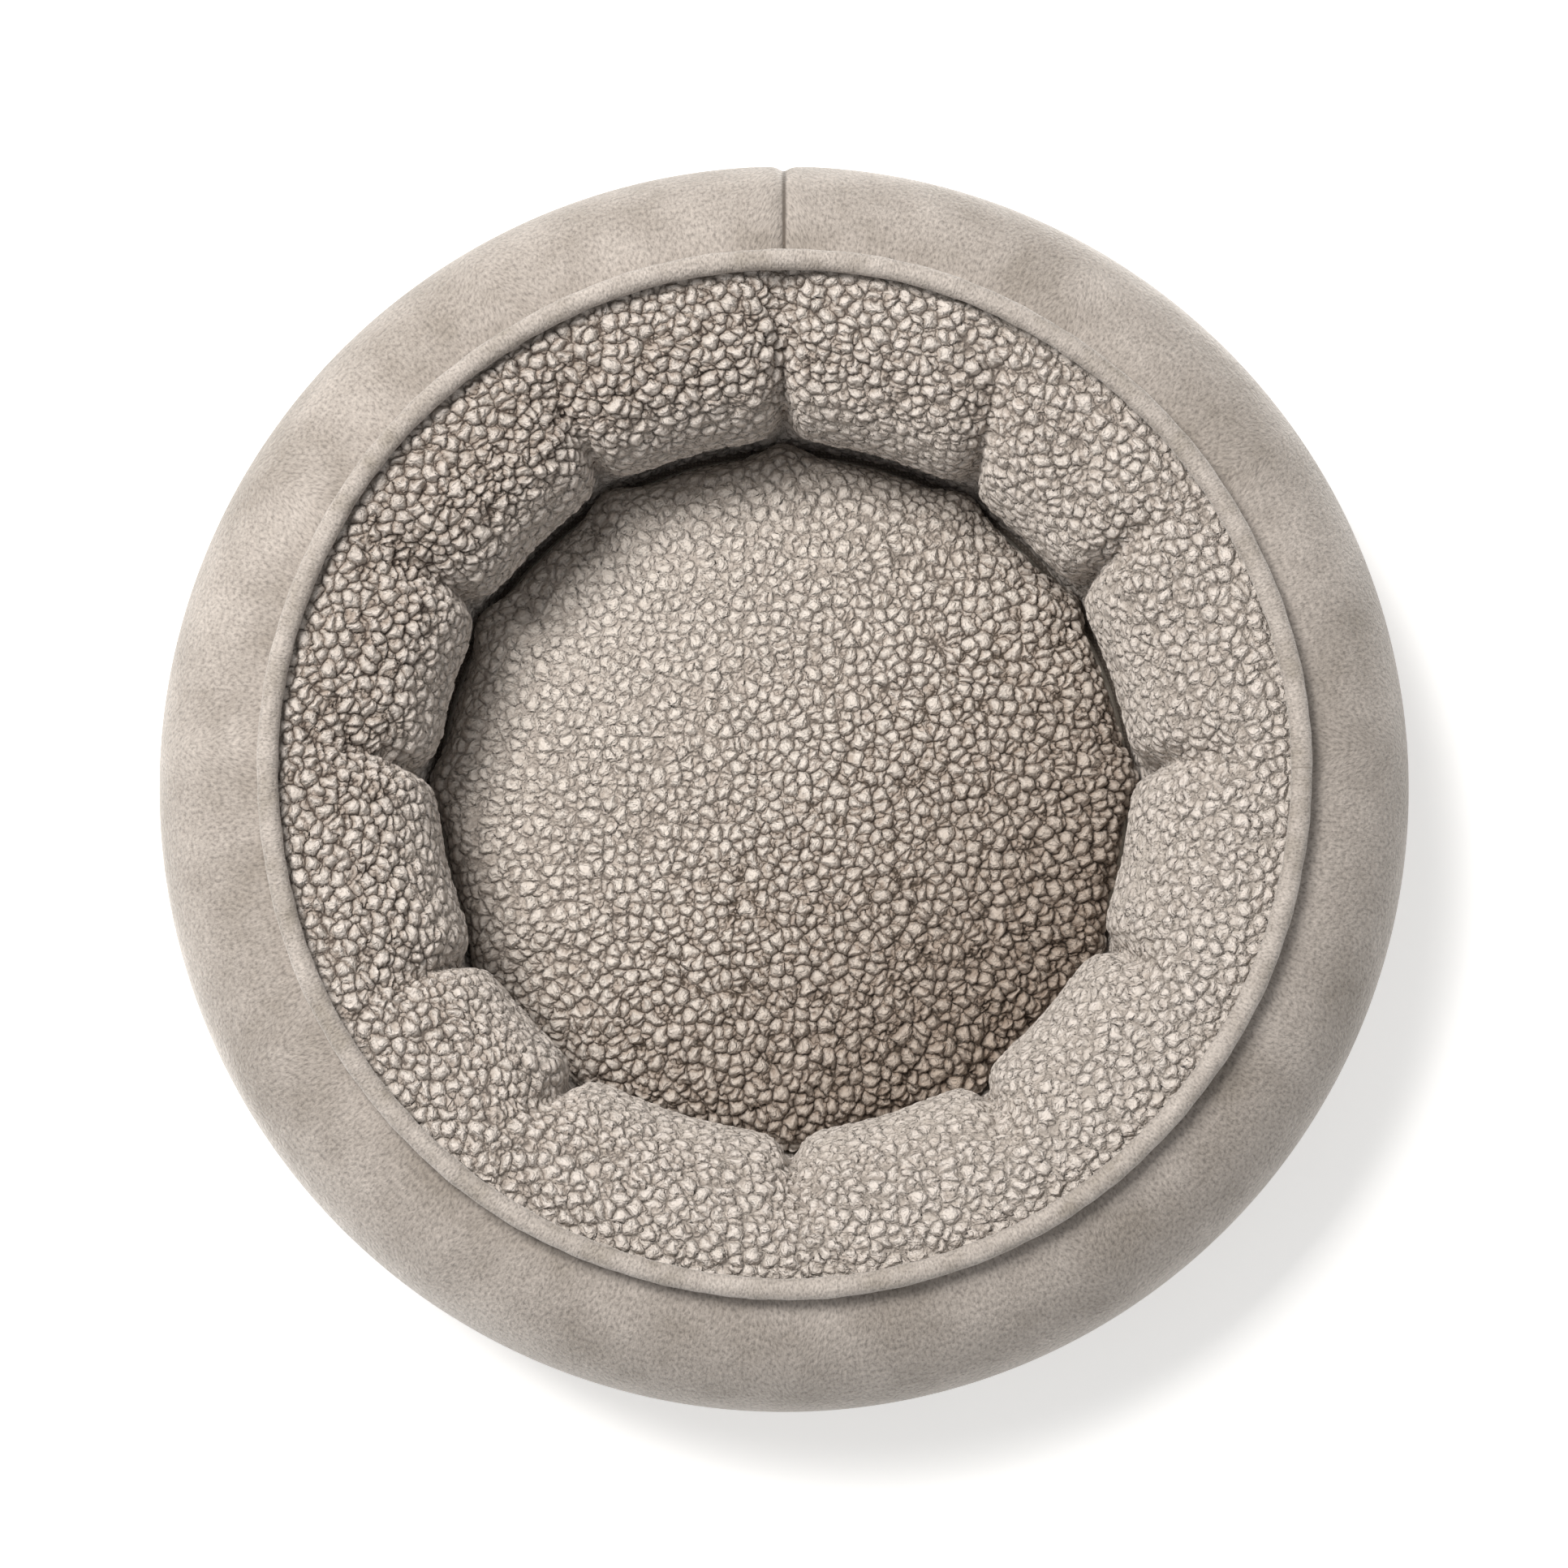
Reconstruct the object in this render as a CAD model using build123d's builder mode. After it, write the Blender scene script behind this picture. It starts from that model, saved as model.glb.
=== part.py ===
"""Round bolster pet bed with a loose floor cushion, 600 mm across, in millimetres.

The origin is under the middle of the bed, on the surface that it stands on, and +Z is up.
The closing seam of the cover and of the lining lies on the +Y side, which is the back.
"""

from build123d import *
from math import cos, degrees, radians, sin, sqrt
import os

# ---- Driving dimensions -------------------------------------------------------------------

outer_diameter = 600.0  # across the bolster at its widest
bolster_height = 150.0  # floor to the crest of the bolster
opening_diameter = 315.0  # across the mouth of the well, where it is narrowest
foot_tuck_in = 18.0  # how far the outer foot stands inside the widest line
well_flare = 13.0  # how far the well widens from its mouth down to its floor

cover_thickness = 1.5  # short-pile velvet of the outer cover
lining_thickness = 5.0  # curly sherpa of the lining, backing and pile
panel_thickness = 1.5  # non-slip cloth under the bed
wadding_thickness = 5.0  # felted sheet under the well
well_floor_thickness = 1.0  # plain cloth that closes the well

piping_lean = 7.6  # degrees that the piping leans outwards from the crest
piping_cord_diameter = 7.0
piping_cord_clearance = 0.1  # between the cord and the sleeve round it
piping_sleeve_thickness = 1.4
piping_stand = 2.5  # centre of the piping above the seam that it is sewn in
piping_flange_depth = 9.0  # seam allowance of the piping, down into the bolster

tuck_count = 12
tuck_depth = 12.0  # how far a tuck pulls the mouth of the well back
tuck_radius = 14.0  # round of the groove that a tuck makes
tuck_reach = 71.5  # degrees of the section that a tuck runs up before it fades out
tack_diameter = 1.5
tack_length = 12.0

thread_diameter = 1.0
closing_seam_width = 1.4  # gap between the two sewn edges of a closing seam
closing_seam_clearance = 1.0  # between the piping and the thread of a closing seam
base_seam_inset = 6.0  # ring seam of the base, inside the outer foot
well_seam_inset = 6.0  # ring seam of the well floor, inside the foot of the lining
piping_seam_depth = 5.0  # ring seam of the piping, below the surface

cushion_gap = 2.0  # all round, between the cushion and the mouth of the well
cushion_floor_gap = 0.3  # between the cushion and the well floor
cushion_crown_height = 55.0  # thickness of the cushion at its middle
cushion_rim_height = 38.0  # thickness of the cushion at its rim, before it is rounded
cushion_seam_height = 16.0  # rim seam above the under side of the cushion
cushion_seam_band = 1.0  # straight rim above and below that seam
cushion_top_thickness = 4.0  # sherpa of the cushion's upper side
cushion_base_thickness = 1.5  # velvet of the cushion's under side

# ---- Values worked out from them ----------------------------------------------------------

outer_radius = outer_diameter / 2
mouth_radius = opening_diameter / 2
section_radius = (outer_radius - mouth_radius) / 2
section_r = (outer_radius + mouth_radius) / 2
section_z = bolster_height - section_radius
outer_foot_radius = outer_radius - foot_tuck_in
inner_foot_radius = mouth_radius + well_flare
well_floor_z = panel_thickness + wadding_thickness
well_floor_top = well_floor_z + well_floor_thickness

lean = radians(piping_lean)
seam_r = section_r + section_radius * sin(lean)
seam_z = section_z + section_radius * cos(lean)
flange_width = 2 * piping_sleeve_thickness
piping_bore = piping_cord_diameter / 2 + piping_cord_clearance
piping_radius = piping_bore + piping_sleeve_thickness
flange_gap = flange_width / 2
closing_seam_gap = piping_radius + closing_seam_clearance
closing_angle = degrees(closing_seam_width / (section_r - section_radius))
closing_arc = 360 - closing_angle
closing_plane = Plane.XZ.rotated((0, 0, 90 + closing_angle / 2))

tuck_shift = tuck_depth / (1 - cos(radians(tuck_reach)))
tuck_path_radius = section_radius + tuck_radius - tuck_depth + tuck_shift
tuck_r = section_r + tuck_shift - tuck_path_radius
tuck_end_r = section_r - section_radius * cos(radians(tuck_reach))
tack_r = tuck_r + sqrt(tuck_radius**2 - (tack_length / 2) ** 2)

cushion_radius = mouth_radius - cushion_gap
cushion_bottom = well_floor_top + cushion_floor_gap
cushion_seam_z = cushion_bottom + cushion_seam_height
cushion_lower_round = cushion_seam_height - cushion_seam_band
cushion_upper_round = cushion_rim_height - cushion_seam_height - cushion_seam_band


# ---- Profiles and tools shared by the pieces ----------------------------------------------


def seam_spot(along, up):
    """Return the place that lies along and above the bolster's surface at the piping."""
    spot_r = seam_r + along * cos(lean) + up * sin(lean)
    spot_z = seam_z - along * sin(lean) + up * cos(lean)
    return Location((spot_r, spot_z), -piping_lean)


def bolster_section(skin, outwards, seam_gap):
    """Return the bolster's section below a skin, on one side of the piping seam."""
    with BuildSketch() as section:
        with BuildLine():
            CenterArc((section_r, section_z), section_radius - skin, 0, 180)
            TangentArc(
                (outer_radius - skin, section_z),
                (outer_foot_radius - skin, panel_thickness),
                tangent=(0, -1),
            )
            Line(
                (outer_foot_radius - skin, panel_thickness),
                (inner_foot_radius + skin, panel_thickness),
            )
            TangentArc(
                (mouth_radius + skin, section_z),
                (inner_foot_radius + skin, panel_thickness),
                tangent=(0, -1),
            )
        make_face()
        shift = seam_gap + outer_radius / 2
        with Locations(seam_spot(shift if outwards else -shift, 0)):
            Rectangle(outer_radius, 2 * bolster_height + outer_radius, mode=Mode.INTERSECT)
        with Locations(seam_spot(0, piping_stand)):
            Circle(piping_radius, mode=Mode.SUBTRACT)
        with Locations(seam_spot(0, -piping_flange_depth / 2)):
            Rectangle(flange_width, piping_flange_depth, mode=Mode.SUBTRACT)
    return section.sketch


def closing_thread(skin, outwards):
    """Return the thread that lies half-way through a skin, in its closing seam."""
    near = (skin - thread_diameter) / 2
    far = (skin + thread_diameter) / 2
    with BuildPart() as strip:
        with BuildSketch(Plane.YZ):
            add(bolster_section(near, outwards, closing_seam_gap))
            add(bolster_section(far, outwards, 0), mode=Mode.SUBTRACT)
            with Locations((tuck_end_r, 0)):
                Rectangle(
                    outer_diameter,
                    outer_diameter,
                    align=(Align.MIN, Align.CENTER),
                    mode=Mode.INTERSECT,
                )
        extrude(amount=thread_diameter / 2, both=True)
    return strip.part


def tuck_grooves(groove_radius):
    """Return the round cutters that fold the lining back, one for every tuck."""
    with BuildPart() as cutter:
        with BuildLine(Plane.XZ):
            Line((tuck_r, 0), (tuck_r, section_z))
            CenterArc((section_r + tuck_shift, section_z), tuck_path_radius, 180, -90)
        with BuildSketch():
            with Locations((tuck_r, 0)):
                Circle(groove_radius)
        sweep()
    with BuildPart() as grooves:
        with PolarLocations(0, tuck_count, start_angle=90):
            add(cutter.part)
    return grooves.part


def thread_ring(ring_radius, height):
    """Return one closed ring of thread around the bed's axis."""
    with BuildPart() as ring:
        with Locations((0, 0, height)):
            Torus(ring_radius, thread_diameter / 2)
    return ring.part


def cushion_section(skin, above_seam):
    """Return half of the cushion's section below a skin, above or below its rim seam."""
    rim_r = cushion_radius - skin
    rim_z = cushion_bottom + cushion_rim_height - skin
    crown_z = cushion_bottom + cushion_crown_height - skin
    with BuildSketch() as section:
        with BuildLine():
            Line((0, cushion_bottom + skin), (rim_r, cushion_bottom + skin))
            Line((rim_r, cushion_bottom + skin), (rim_r, rim_z))
            TangentArc((0, crown_z), (rim_r, rim_z), tangent=(1, 0))
            Line((0, cushion_bottom + skin), (0, crown_z))
        make_face()
        rim_corners = section.vertices().group_by(Axis.X)[-1].sort_by(Axis.Y)
        fillet(rim_corners[0], cushion_lower_round - skin)
        fillet(rim_corners[-1], cushion_upper_round - skin)
        shift = cushion_radius if above_seam else -cushion_radius
        with Locations((cushion_radius, cushion_seam_z + shift)):
            Rectangle(2 * cushion_radius, 2 * cushion_radius, mode=Mode.INTERSECT)
    return section.sketch


# ---- Threads of the ring seams ------------------------------------------------------------

base_seam_thread = thread_ring(outer_foot_radius - base_seam_inset, panel_thickness)
well_seam_thread = thread_ring(inner_foot_radius - well_seam_inset, well_floor_top)
cushion_seam_thread = thread_ring(cushion_radius, cushion_seam_z)
stitch_spot = seam_spot(0, -piping_seam_depth)
piping_seam_thread = thread_ring(stitch_spot.position.X, stitch_spot.position.Y)

# ---- Closing seams, over the back of the bolster ------------------------------------------

cover_seam_thread = closing_thread(cover_thickness, outwards=True)
lining_seam_thread = closing_thread(lining_thickness, outwards=False)

# ---- The tacks that hold the tucks down ---------------------------------------------------

with BuildPart() as tuck_tacks:
    with PolarLocations(tack_r, tuck_count, start_angle=90):
        with Locations((0, 0, section_z)):
            Cylinder(tack_diameter / 2, tack_length, rotation=(90, 0, 0))

# ---- The bolster ring ---------------------------------------------------------------------

with BuildPart() as bolster_fill:
    with BuildSketch(Plane.XZ):
        add(bolster_section(cover_thickness, outwards=True, seam_gap=0))
    revolve(axis=Axis.Z)
    with BuildSketch(Plane.XZ):
        add(bolster_section(lining_thickness, outwards=False, seam_gap=0))
    revolve(axis=Axis.Z)
    add(tuck_grooves(tuck_radius + lining_thickness), mode=Mode.SUBTRACT)
    add(base_seam_thread, mode=Mode.SUBTRACT)

with BuildPart() as outer_cover:
    with BuildSketch(closing_plane):
        add(bolster_section(0, outwards=True, seam_gap=flange_gap))
        add(bolster_section(cover_thickness, outwards=True, seam_gap=0), mode=Mode.SUBTRACT)
    revolve(axis=Axis.Z, revolution_arc=closing_arc)

with BuildPart() as bolster_lining:
    with BuildSketch(closing_plane):
        add(bolster_section(0, outwards=False, seam_gap=flange_gap))
    revolve(axis=Axis.Z, revolution_arc=closing_arc)
    add(tuck_grooves(tuck_radius), mode=Mode.SUBTRACT)
    add(bolster_fill.part, mode=Mode.SUBTRACT)
    add(tuck_tacks.part, mode=Mode.SUBTRACT)

with BuildPart() as piping_cord:
    with BuildSketch(Plane.XZ):
        with Locations(seam_spot(0, piping_stand)):
            Circle(piping_cord_diameter / 2)
    revolve(axis=Axis.Z)

with BuildPart() as piping_sleeve:
    with BuildSketch(Plane.XZ):
        with Locations(seam_spot(0, -piping_flange_depth / 2)):
            Rectangle(flange_width, piping_flange_depth)
        with Locations(seam_spot(0, piping_stand)):
            Circle(piping_radius)
            Circle(piping_bore, mode=Mode.SUBTRACT)
    revolve(axis=Axis.Z)
    add(piping_seam_thread, mode=Mode.SUBTRACT)

# ---- The base and the floor of the well ---------------------------------------------------

with BuildPart() as base_panel:
    with BuildSketch():
        Circle(outer_foot_radius)
    extrude(amount=panel_thickness)
    add(base_seam_thread, mode=Mode.SUBTRACT)

with BuildPart() as bolster_envelope:
    with BuildSketch(Plane.XZ):
        add(bolster_section(0, outwards=False, seam_gap=0))
    revolve(axis=Axis.Z)

with BuildPart() as base_wadding:
    with BuildSketch(Plane.XY.offset(panel_thickness)):
        Circle(inner_foot_radius)
    extrude(amount=wadding_thickness)
    add(bolster_envelope.part, mode=Mode.SUBTRACT)

with BuildPart() as well_floor:
    with BuildSketch(Plane.XY.offset(well_floor_z)):
        Circle(inner_foot_radius)
    extrude(amount=well_floor_thickness)
    add(bolster_envelope.part, mode=Mode.SUBTRACT)
    add(well_seam_thread, mode=Mode.SUBTRACT)

# ---- The loose floor cushion --------------------------------------------------------------

with BuildPart() as cushion_fill:
    with BuildSketch(Plane.XZ):
        add(cushion_section(cushion_top_thickness, above_seam=True))
    revolve(axis=Axis.Z)
    with BuildSketch(Plane.XZ):
        add(cushion_section(cushion_base_thickness, above_seam=False))
    revolve(axis=Axis.Z)

with BuildPart() as cushion_top:
    with BuildSketch(Plane.XZ):
        add(cushion_section(0, above_seam=True))
    revolve(axis=Axis.Z)
    add(cushion_fill.part, mode=Mode.SUBTRACT)
    add(cushion_seam_thread, mode=Mode.SUBTRACT)

with BuildPart() as cushion_base:
    with BuildSketch(Plane.XZ):
        add(cushion_section(0, above_seam=False))
    revolve(axis=Axis.Z)
    add(cushion_fill.part, mode=Mode.SUBTRACT)
    add(cushion_seam_thread, mode=Mode.SUBTRACT)

# ---- Labels and files ---------------------------------------------------------------------

pieces = {
    "outer_cover": outer_cover.part,
    "cover_seam_thread": cover_seam_thread,
    "piping_cord": piping_cord.part,
    "piping_sleeve": piping_sleeve.part,
    "piping_seam_thread": piping_seam_thread,
    "bolster_lining": bolster_lining.part,
    "lining_seam_thread": lining_seam_thread,
    "tuck_tacks": tuck_tacks.part,
    "bolster_fill": bolster_fill.part,
    "base_panel": base_panel.part,
    "base_seam_thread": base_seam_thread,
    "base_wadding": base_wadding.part,
    "well_floor": well_floor.part,
    "well_seam_thread": well_seam_thread,
    "cushion_top": cushion_top.part,
    "cushion_base": cushion_base.part,
    "cushion_fill": cushion_fill.part,
    "cushion_seam_thread": cushion_seam_thread,
}

os.makedirs("parts", exist_ok=True)
for name, piece in pieces.items():
    piece.label = name
    export_step(piece, f"parts/{name}.step")
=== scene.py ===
"""Round bolster pet bed: the looks of every piece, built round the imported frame.

All sizes are in metres and in the frame's own axes: +Z up, +Y towards the closing seams.
"""

import logging
import math
from dataclasses import dataclass, field
from enum import Enum
from typing import Any

import bpy
import numpy as np
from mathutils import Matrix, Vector


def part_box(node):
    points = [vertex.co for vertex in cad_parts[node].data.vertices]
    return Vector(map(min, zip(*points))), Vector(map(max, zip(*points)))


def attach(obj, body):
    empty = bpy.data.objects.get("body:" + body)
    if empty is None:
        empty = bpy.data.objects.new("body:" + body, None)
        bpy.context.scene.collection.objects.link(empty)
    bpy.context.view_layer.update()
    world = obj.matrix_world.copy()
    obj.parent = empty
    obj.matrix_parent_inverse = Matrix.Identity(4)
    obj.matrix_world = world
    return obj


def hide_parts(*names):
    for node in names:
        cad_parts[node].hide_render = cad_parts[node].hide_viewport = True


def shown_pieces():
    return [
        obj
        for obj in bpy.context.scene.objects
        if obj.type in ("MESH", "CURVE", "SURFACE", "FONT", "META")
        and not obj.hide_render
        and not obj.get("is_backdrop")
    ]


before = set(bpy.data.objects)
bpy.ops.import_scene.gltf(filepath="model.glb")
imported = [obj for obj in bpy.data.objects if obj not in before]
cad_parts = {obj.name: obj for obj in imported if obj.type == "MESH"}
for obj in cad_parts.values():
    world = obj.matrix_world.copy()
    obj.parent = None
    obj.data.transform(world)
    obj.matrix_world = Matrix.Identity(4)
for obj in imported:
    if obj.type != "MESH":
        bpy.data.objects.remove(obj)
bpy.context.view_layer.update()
MM = 0.001

Array = np.ndarray
Material = bpy.types.Material
Mesh = bpy.types.Mesh
Node = bpy.types.Node
Piece = bpy.types.Object
Socket = bpy.types.NodeSocket
Tree = bpy.types.NodeTree
Sizes = dict[str, float]
Place = tuple[float, float, float]

log = logging.getLogger("pet_bed")


# ---- Small helpers ------------------------------------------------------------------------


def linear(code: str) -> tuple[float, float, float, float]:
    """Turn an sRGB hex colour into linear RGBA.

    Args:
        code: six hex digits, such as "b8aea5".

    Returns:
        The linear colour with an alpha of 1.
    """
    values = [int(code[i : i + 2], 16) / 255 for i in (0, 2, 4)]
    red, green, blue = (v / 12.92 if v <= 0.04045 else ((v + 0.055) / 1.055) ** 2.4 for v in values)
    return (red, green, blue, 1.0)


def add_node(tree: Tree, kind: str, links: dict[Any, Any] | None = None, **settings: Any) -> Node:
    """Add one node with its settings and input links.

    Args:
        tree: the node tree that gets the node.
        kind: the node's type name.
        links: input name or index to an output socket, or to a plain value.
        settings: attributes of the node itself.

    Returns:
        The new node.
    """
    node = tree.nodes.new(kind)
    for name, value in settings.items():
        setattr(node, name, value)
    for name, value in (links or {}).items():
        socket = node.inputs[name]
        if isinstance(value, Socket):
            tree.links.new(value, socket)
        else:
            socket.default_value = value
    return node


def arithmetic(tree: Tree, operation: str, one: Any, two: Any = 0.0, three: Any = 0.0) -> Socket:
    """Return the result of one math node."""
    return add_node(tree, "ShaderNodeMath", {0: one, 1: two, 2: three}, operation=operation).outputs[0]


def map_range(tree: Tree, value: Socket, source: tuple[float, float], goal: tuple[float, float]) -> Socket:
    """Return a value carried from one range to another in a straight line, and clamped."""
    links = {0: value, 1: source[0], 2: source[1], 3: goal[0], 4: goal[1]}
    return add_node(tree, "ShaderNodeMapRange", links).outputs[0]


def vector_math(tree: Tree, operation: str, one: Any, two: Any = None, scale: Any = None) -> Socket:
    """Return the result of one vector math node."""
    links = {0: one}
    if two is not None:
        links[1] = two
    if scale is not None:
        links["Scale"] = scale
    return add_node(tree, "ShaderNodeVectorMath", links, operation=operation).outputs[0]


def grid_mesh(
    name: str, points: Array, wraps: bool, uv: Array | None = None, closes: bool = False
) -> Piece:
    """Make a quad mesh from rows of points.

    Args:
        name: the object's name.
        points: an array of rows, columns and xyz.
        wraps: True where the last column joins the first.
        uv: rows and columns of cloth coordinates in metres, with one column more if it wraps.
        closes: True where the last row joins the first.

    Returns:
        The new object, in the scene.
    """
    rows, columns = points.shape[:2]
    faces = []
    corners = []
    for i in range(rows if closes else rows - 1):
        n = (i + 1) % rows
        for j in range(columns if wraps else columns - 1):
            k = (j + 1) % columns
            faces.append((i * columns + j, n * columns + j, n * columns + k, i * columns + k))
            corners += [(i, j), (n, j), (n, j + 1), (i, j + 1)]
    mesh = bpy.data.meshes.new(name)
    mesh.from_pydata(points.reshape(-1, 3).tolist(), [], faces)
    if uv is not None:
        layer = mesh.uv_layers.new(name="cloth")
        layer.data.foreach_set("uv", np.array([uv[i, j] for i, j in corners], dtype=np.float32).ravel())
    return link_mesh(name, mesh)


def link_mesh(name: str, mesh: Mesh) -> Piece:
    """Put a mesh in the scene as a smooth-shaded object with that name."""
    mesh.polygons.foreach_set("use_smooth", [True] * len(mesh.polygons))
    mesh.update()
    piece = bpy.data.objects.new(name, mesh)
    bpy.context.scene.collection.objects.link(piece)
    return piece


def coordinates(mesh: Mesh) -> Array:
    """Return the mesh's vertices as an array of xyz."""
    flat = np.empty(len(mesh.vertices) * 3)
    mesh.vertices.foreach_get("co", flat)
    return flat.reshape(-1, 3)


def baked(piece: Piece) -> Piece:
    """Replace a piece's mesh by the result of its modifiers, and remove them.

    Args:
        piece: an object with live modifiers.

    Returns:
        The same object with a plain mesh.
    """
    bpy.context.view_layer.update()
    evaluated = piece.evaluated_get(bpy.context.evaluated_depsgraph_get())
    mesh = bpy.data.meshes.new_from_object(evaluated)
    piece.modifiers.clear()
    piece.data = mesh
    mesh.polygons.foreach_set("use_smooth", [True] * len(mesh.polygons))
    return piece


def smooth(piece: Piece, levels: int) -> None:
    """Add a subdivision surface with the same levels in view and render."""
    modifier = piece.modifiers.new("smooth", "SUBSURF")
    modifier.levels = levels
    modifier.render_levels = levels


def set_float(piece: Piece, name: str, values: Array) -> None:
    """Store one number for each vertex as a named attribute."""
    attribute = piece.data.attributes.new(name, "FLOAT", "POINT")
    attribute.data.foreach_set("value", values.astype(np.float32).ravel())


def set_vector(piece: Piece, name: str, values: Array) -> None:
    """Store one vector for each vertex as a named attribute."""
    attribute = piece.data.attributes.new(name, "FLOAT_VECTOR", "POINT")
    attribute.data.foreach_set("vector", values.astype(np.float32).ravel())


def inflate(piece: Piece, pins: Array, cap: float, frames: int = 20) -> Array:
    """Swell a closed skin by a cloth simulation with pressure.

    Args:
        piece: the closed skin, already at its place.
        pins: how firmly each vertex is held, from 0 to 1.
        cap: the furthest that a point may move, in metres.
        frames: length of the simulation.

    Returns:
        The swollen skin's vertices.
    """
    start = coordinates(piece.data)
    group = piece.vertex_groups.new(name="pins")
    for index in np.nonzero(pins > 0.01)[0]:
        group.add([int(index)], float(pins[index]), "REPLACE")
    cloth = piece.modifiers.new("cloth", "CLOTH")
    settings = cloth.settings
    settings.quality = 5
    settings.mass = 0.3
    settings.tension_stiffness = settings.compression_stiffness = 12
    settings.shear_stiffness = 5
    settings.bending_stiffness = 0.8
    settings.vertex_group_mass = "pins"
    settings.use_pressure = True
    settings.uniform_pressure_force = 4
    settings.effector_weights.gravity = 0
    cloth.collision_settings.use_collision = False
    cloth.point_cache.frame_end = frames
    scene = bpy.context.scene
    for number in range(1, frames + 1):
        scene.frame_set(number)
    evaluated = piece.evaluated_get(bpy.context.evaluated_depsgraph_get())
    moved = coordinates(evaluated.data) - start
    piece.modifiers.clear()
    scene.frame_set(1)
    length = np.maximum(np.linalg.norm(moved, axis=1, keepdims=True), 1e-9)
    return start + moved * np.minimum(1.0, cap / length)


def spin(radius: Array, azimuth: Array, height: Array | float) -> Array:
    """Return points at a radius and an azimuth round the bed's axis, at a height."""
    x = radius * np.cos(azimuth)
    return np.stack([x, radius * np.sin(azimuth), height + np.zeros_like(x)], axis=-1)


def fade(value: Array, low: float, high: float) -> Array:
    """Return a smooth step from 0 at low to 1 at high."""
    t = np.clip((value - low) / (high - low), 0, 1)
    return t * t * (3 - 2 * t)


# ---- Finishes -----------------------------------------------------------------------------


def new_material(name: str, roughness: float, sheen: float, tint: str) -> tuple[Tree, Node]:
    """Start a cloth material.

    Args:
        name: the material's name.
        roughness: roughness of the fibres.
        sheen: weight of the soft rim that standing fibres give.
        tint: sRGB hex colour of that rim.

    Returns:
        The node tree and its Principled shader.
    """
    material = bpy.data.materials.new(name)
    material.use_nodes = True
    tree = material.node_tree
    shader = tree.nodes["Principled BSDF"]
    shader.inputs["Roughness"].default_value = roughness
    shader.inputs["Specular IOR Level"].default_value = 0.2
    shader.inputs["Sheen Weight"].default_value = sheen
    shader.inputs["Sheen Roughness"].default_value = 0.4
    shader.inputs["Sheen Tint"].default_value = linear(tint)
    return tree, shader


def ramp(tree: Tree, factor: Socket, stops: list[tuple[float, str]]) -> Socket:
    """Colour a factor by a ramp.

    Args:
        tree: the material's node tree.
        factor: the socket that drives the ramp.
        stops: places from 0 to 1, each with an sRGB hex colour.

    Returns:
        The ramp's colour socket.
    """
    node = add_node(tree, "ShaderNodeValToRGB", {"Fac": factor})
    elements = node.color_ramp.elements
    while len(elements) < len(stops):
        elements.new(0.5)
    for element, (place, code) in zip(elements, stops):
        element.position = place
        element.color = linear(code)
    return node.outputs["Color"]


def mix(tree: Tree, factor: Any, one: Any, two: Any, blend: str = "MIX") -> Socket:
    """Mix two colours.

    Args:
        tree: the material's node tree.
        factor: a socket or a number.
        one: the first colour or socket.
        two: the second colour or socket.
        blend: the blend type.

    Returns:
        The result's socket.
    """
    links = {0: factor, 6: one, 7: two}
    return add_node(tree, "ShaderNodeMix", links, data_type="RGBA", blend_type=blend).outputs[2]


def bump(tree: Tree, shader: Node, layers: list[tuple[Socket, float]]) -> None:
    """Stack height patterns into the shader's normal.

    Args:
        tree: the material's node tree.
        shader: the Principled shader.
        layers: height sockets, each with its depth in metres.
    """
    normal = None
    for height, depth in layers:
        links = {"Height": height, "Distance": depth, "Strength": 1.0}
        if normal is not None:
            links["Normal"] = normal
        normal = add_node(tree, "ShaderNodeBump", links).outputs["Normal"]
    tree.links.new(normal, shader.inputs["Normal"])


def noise(tree: Tree, place: Any, size: float, detail: float = 3.0, rough: float = 0.55) -> Socket:
    """Return a noise pattern whose features are about size metres across."""
    links = {"Vector": place, "Scale": 1 / size, "Detail": detail, "Roughness": rough}
    return add_node(tree, "ShaderNodeTexNoise", links).outputs["Fac"]


def stretched(tree: Tree, place: Socket, scale: Place) -> Socket:
    """Return coordinates stretched by a scale along each axis."""
    return add_node(tree, "ShaderNodeMapping", {"Vector": place, "Scale": scale}).outputs["Vector"]


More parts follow.
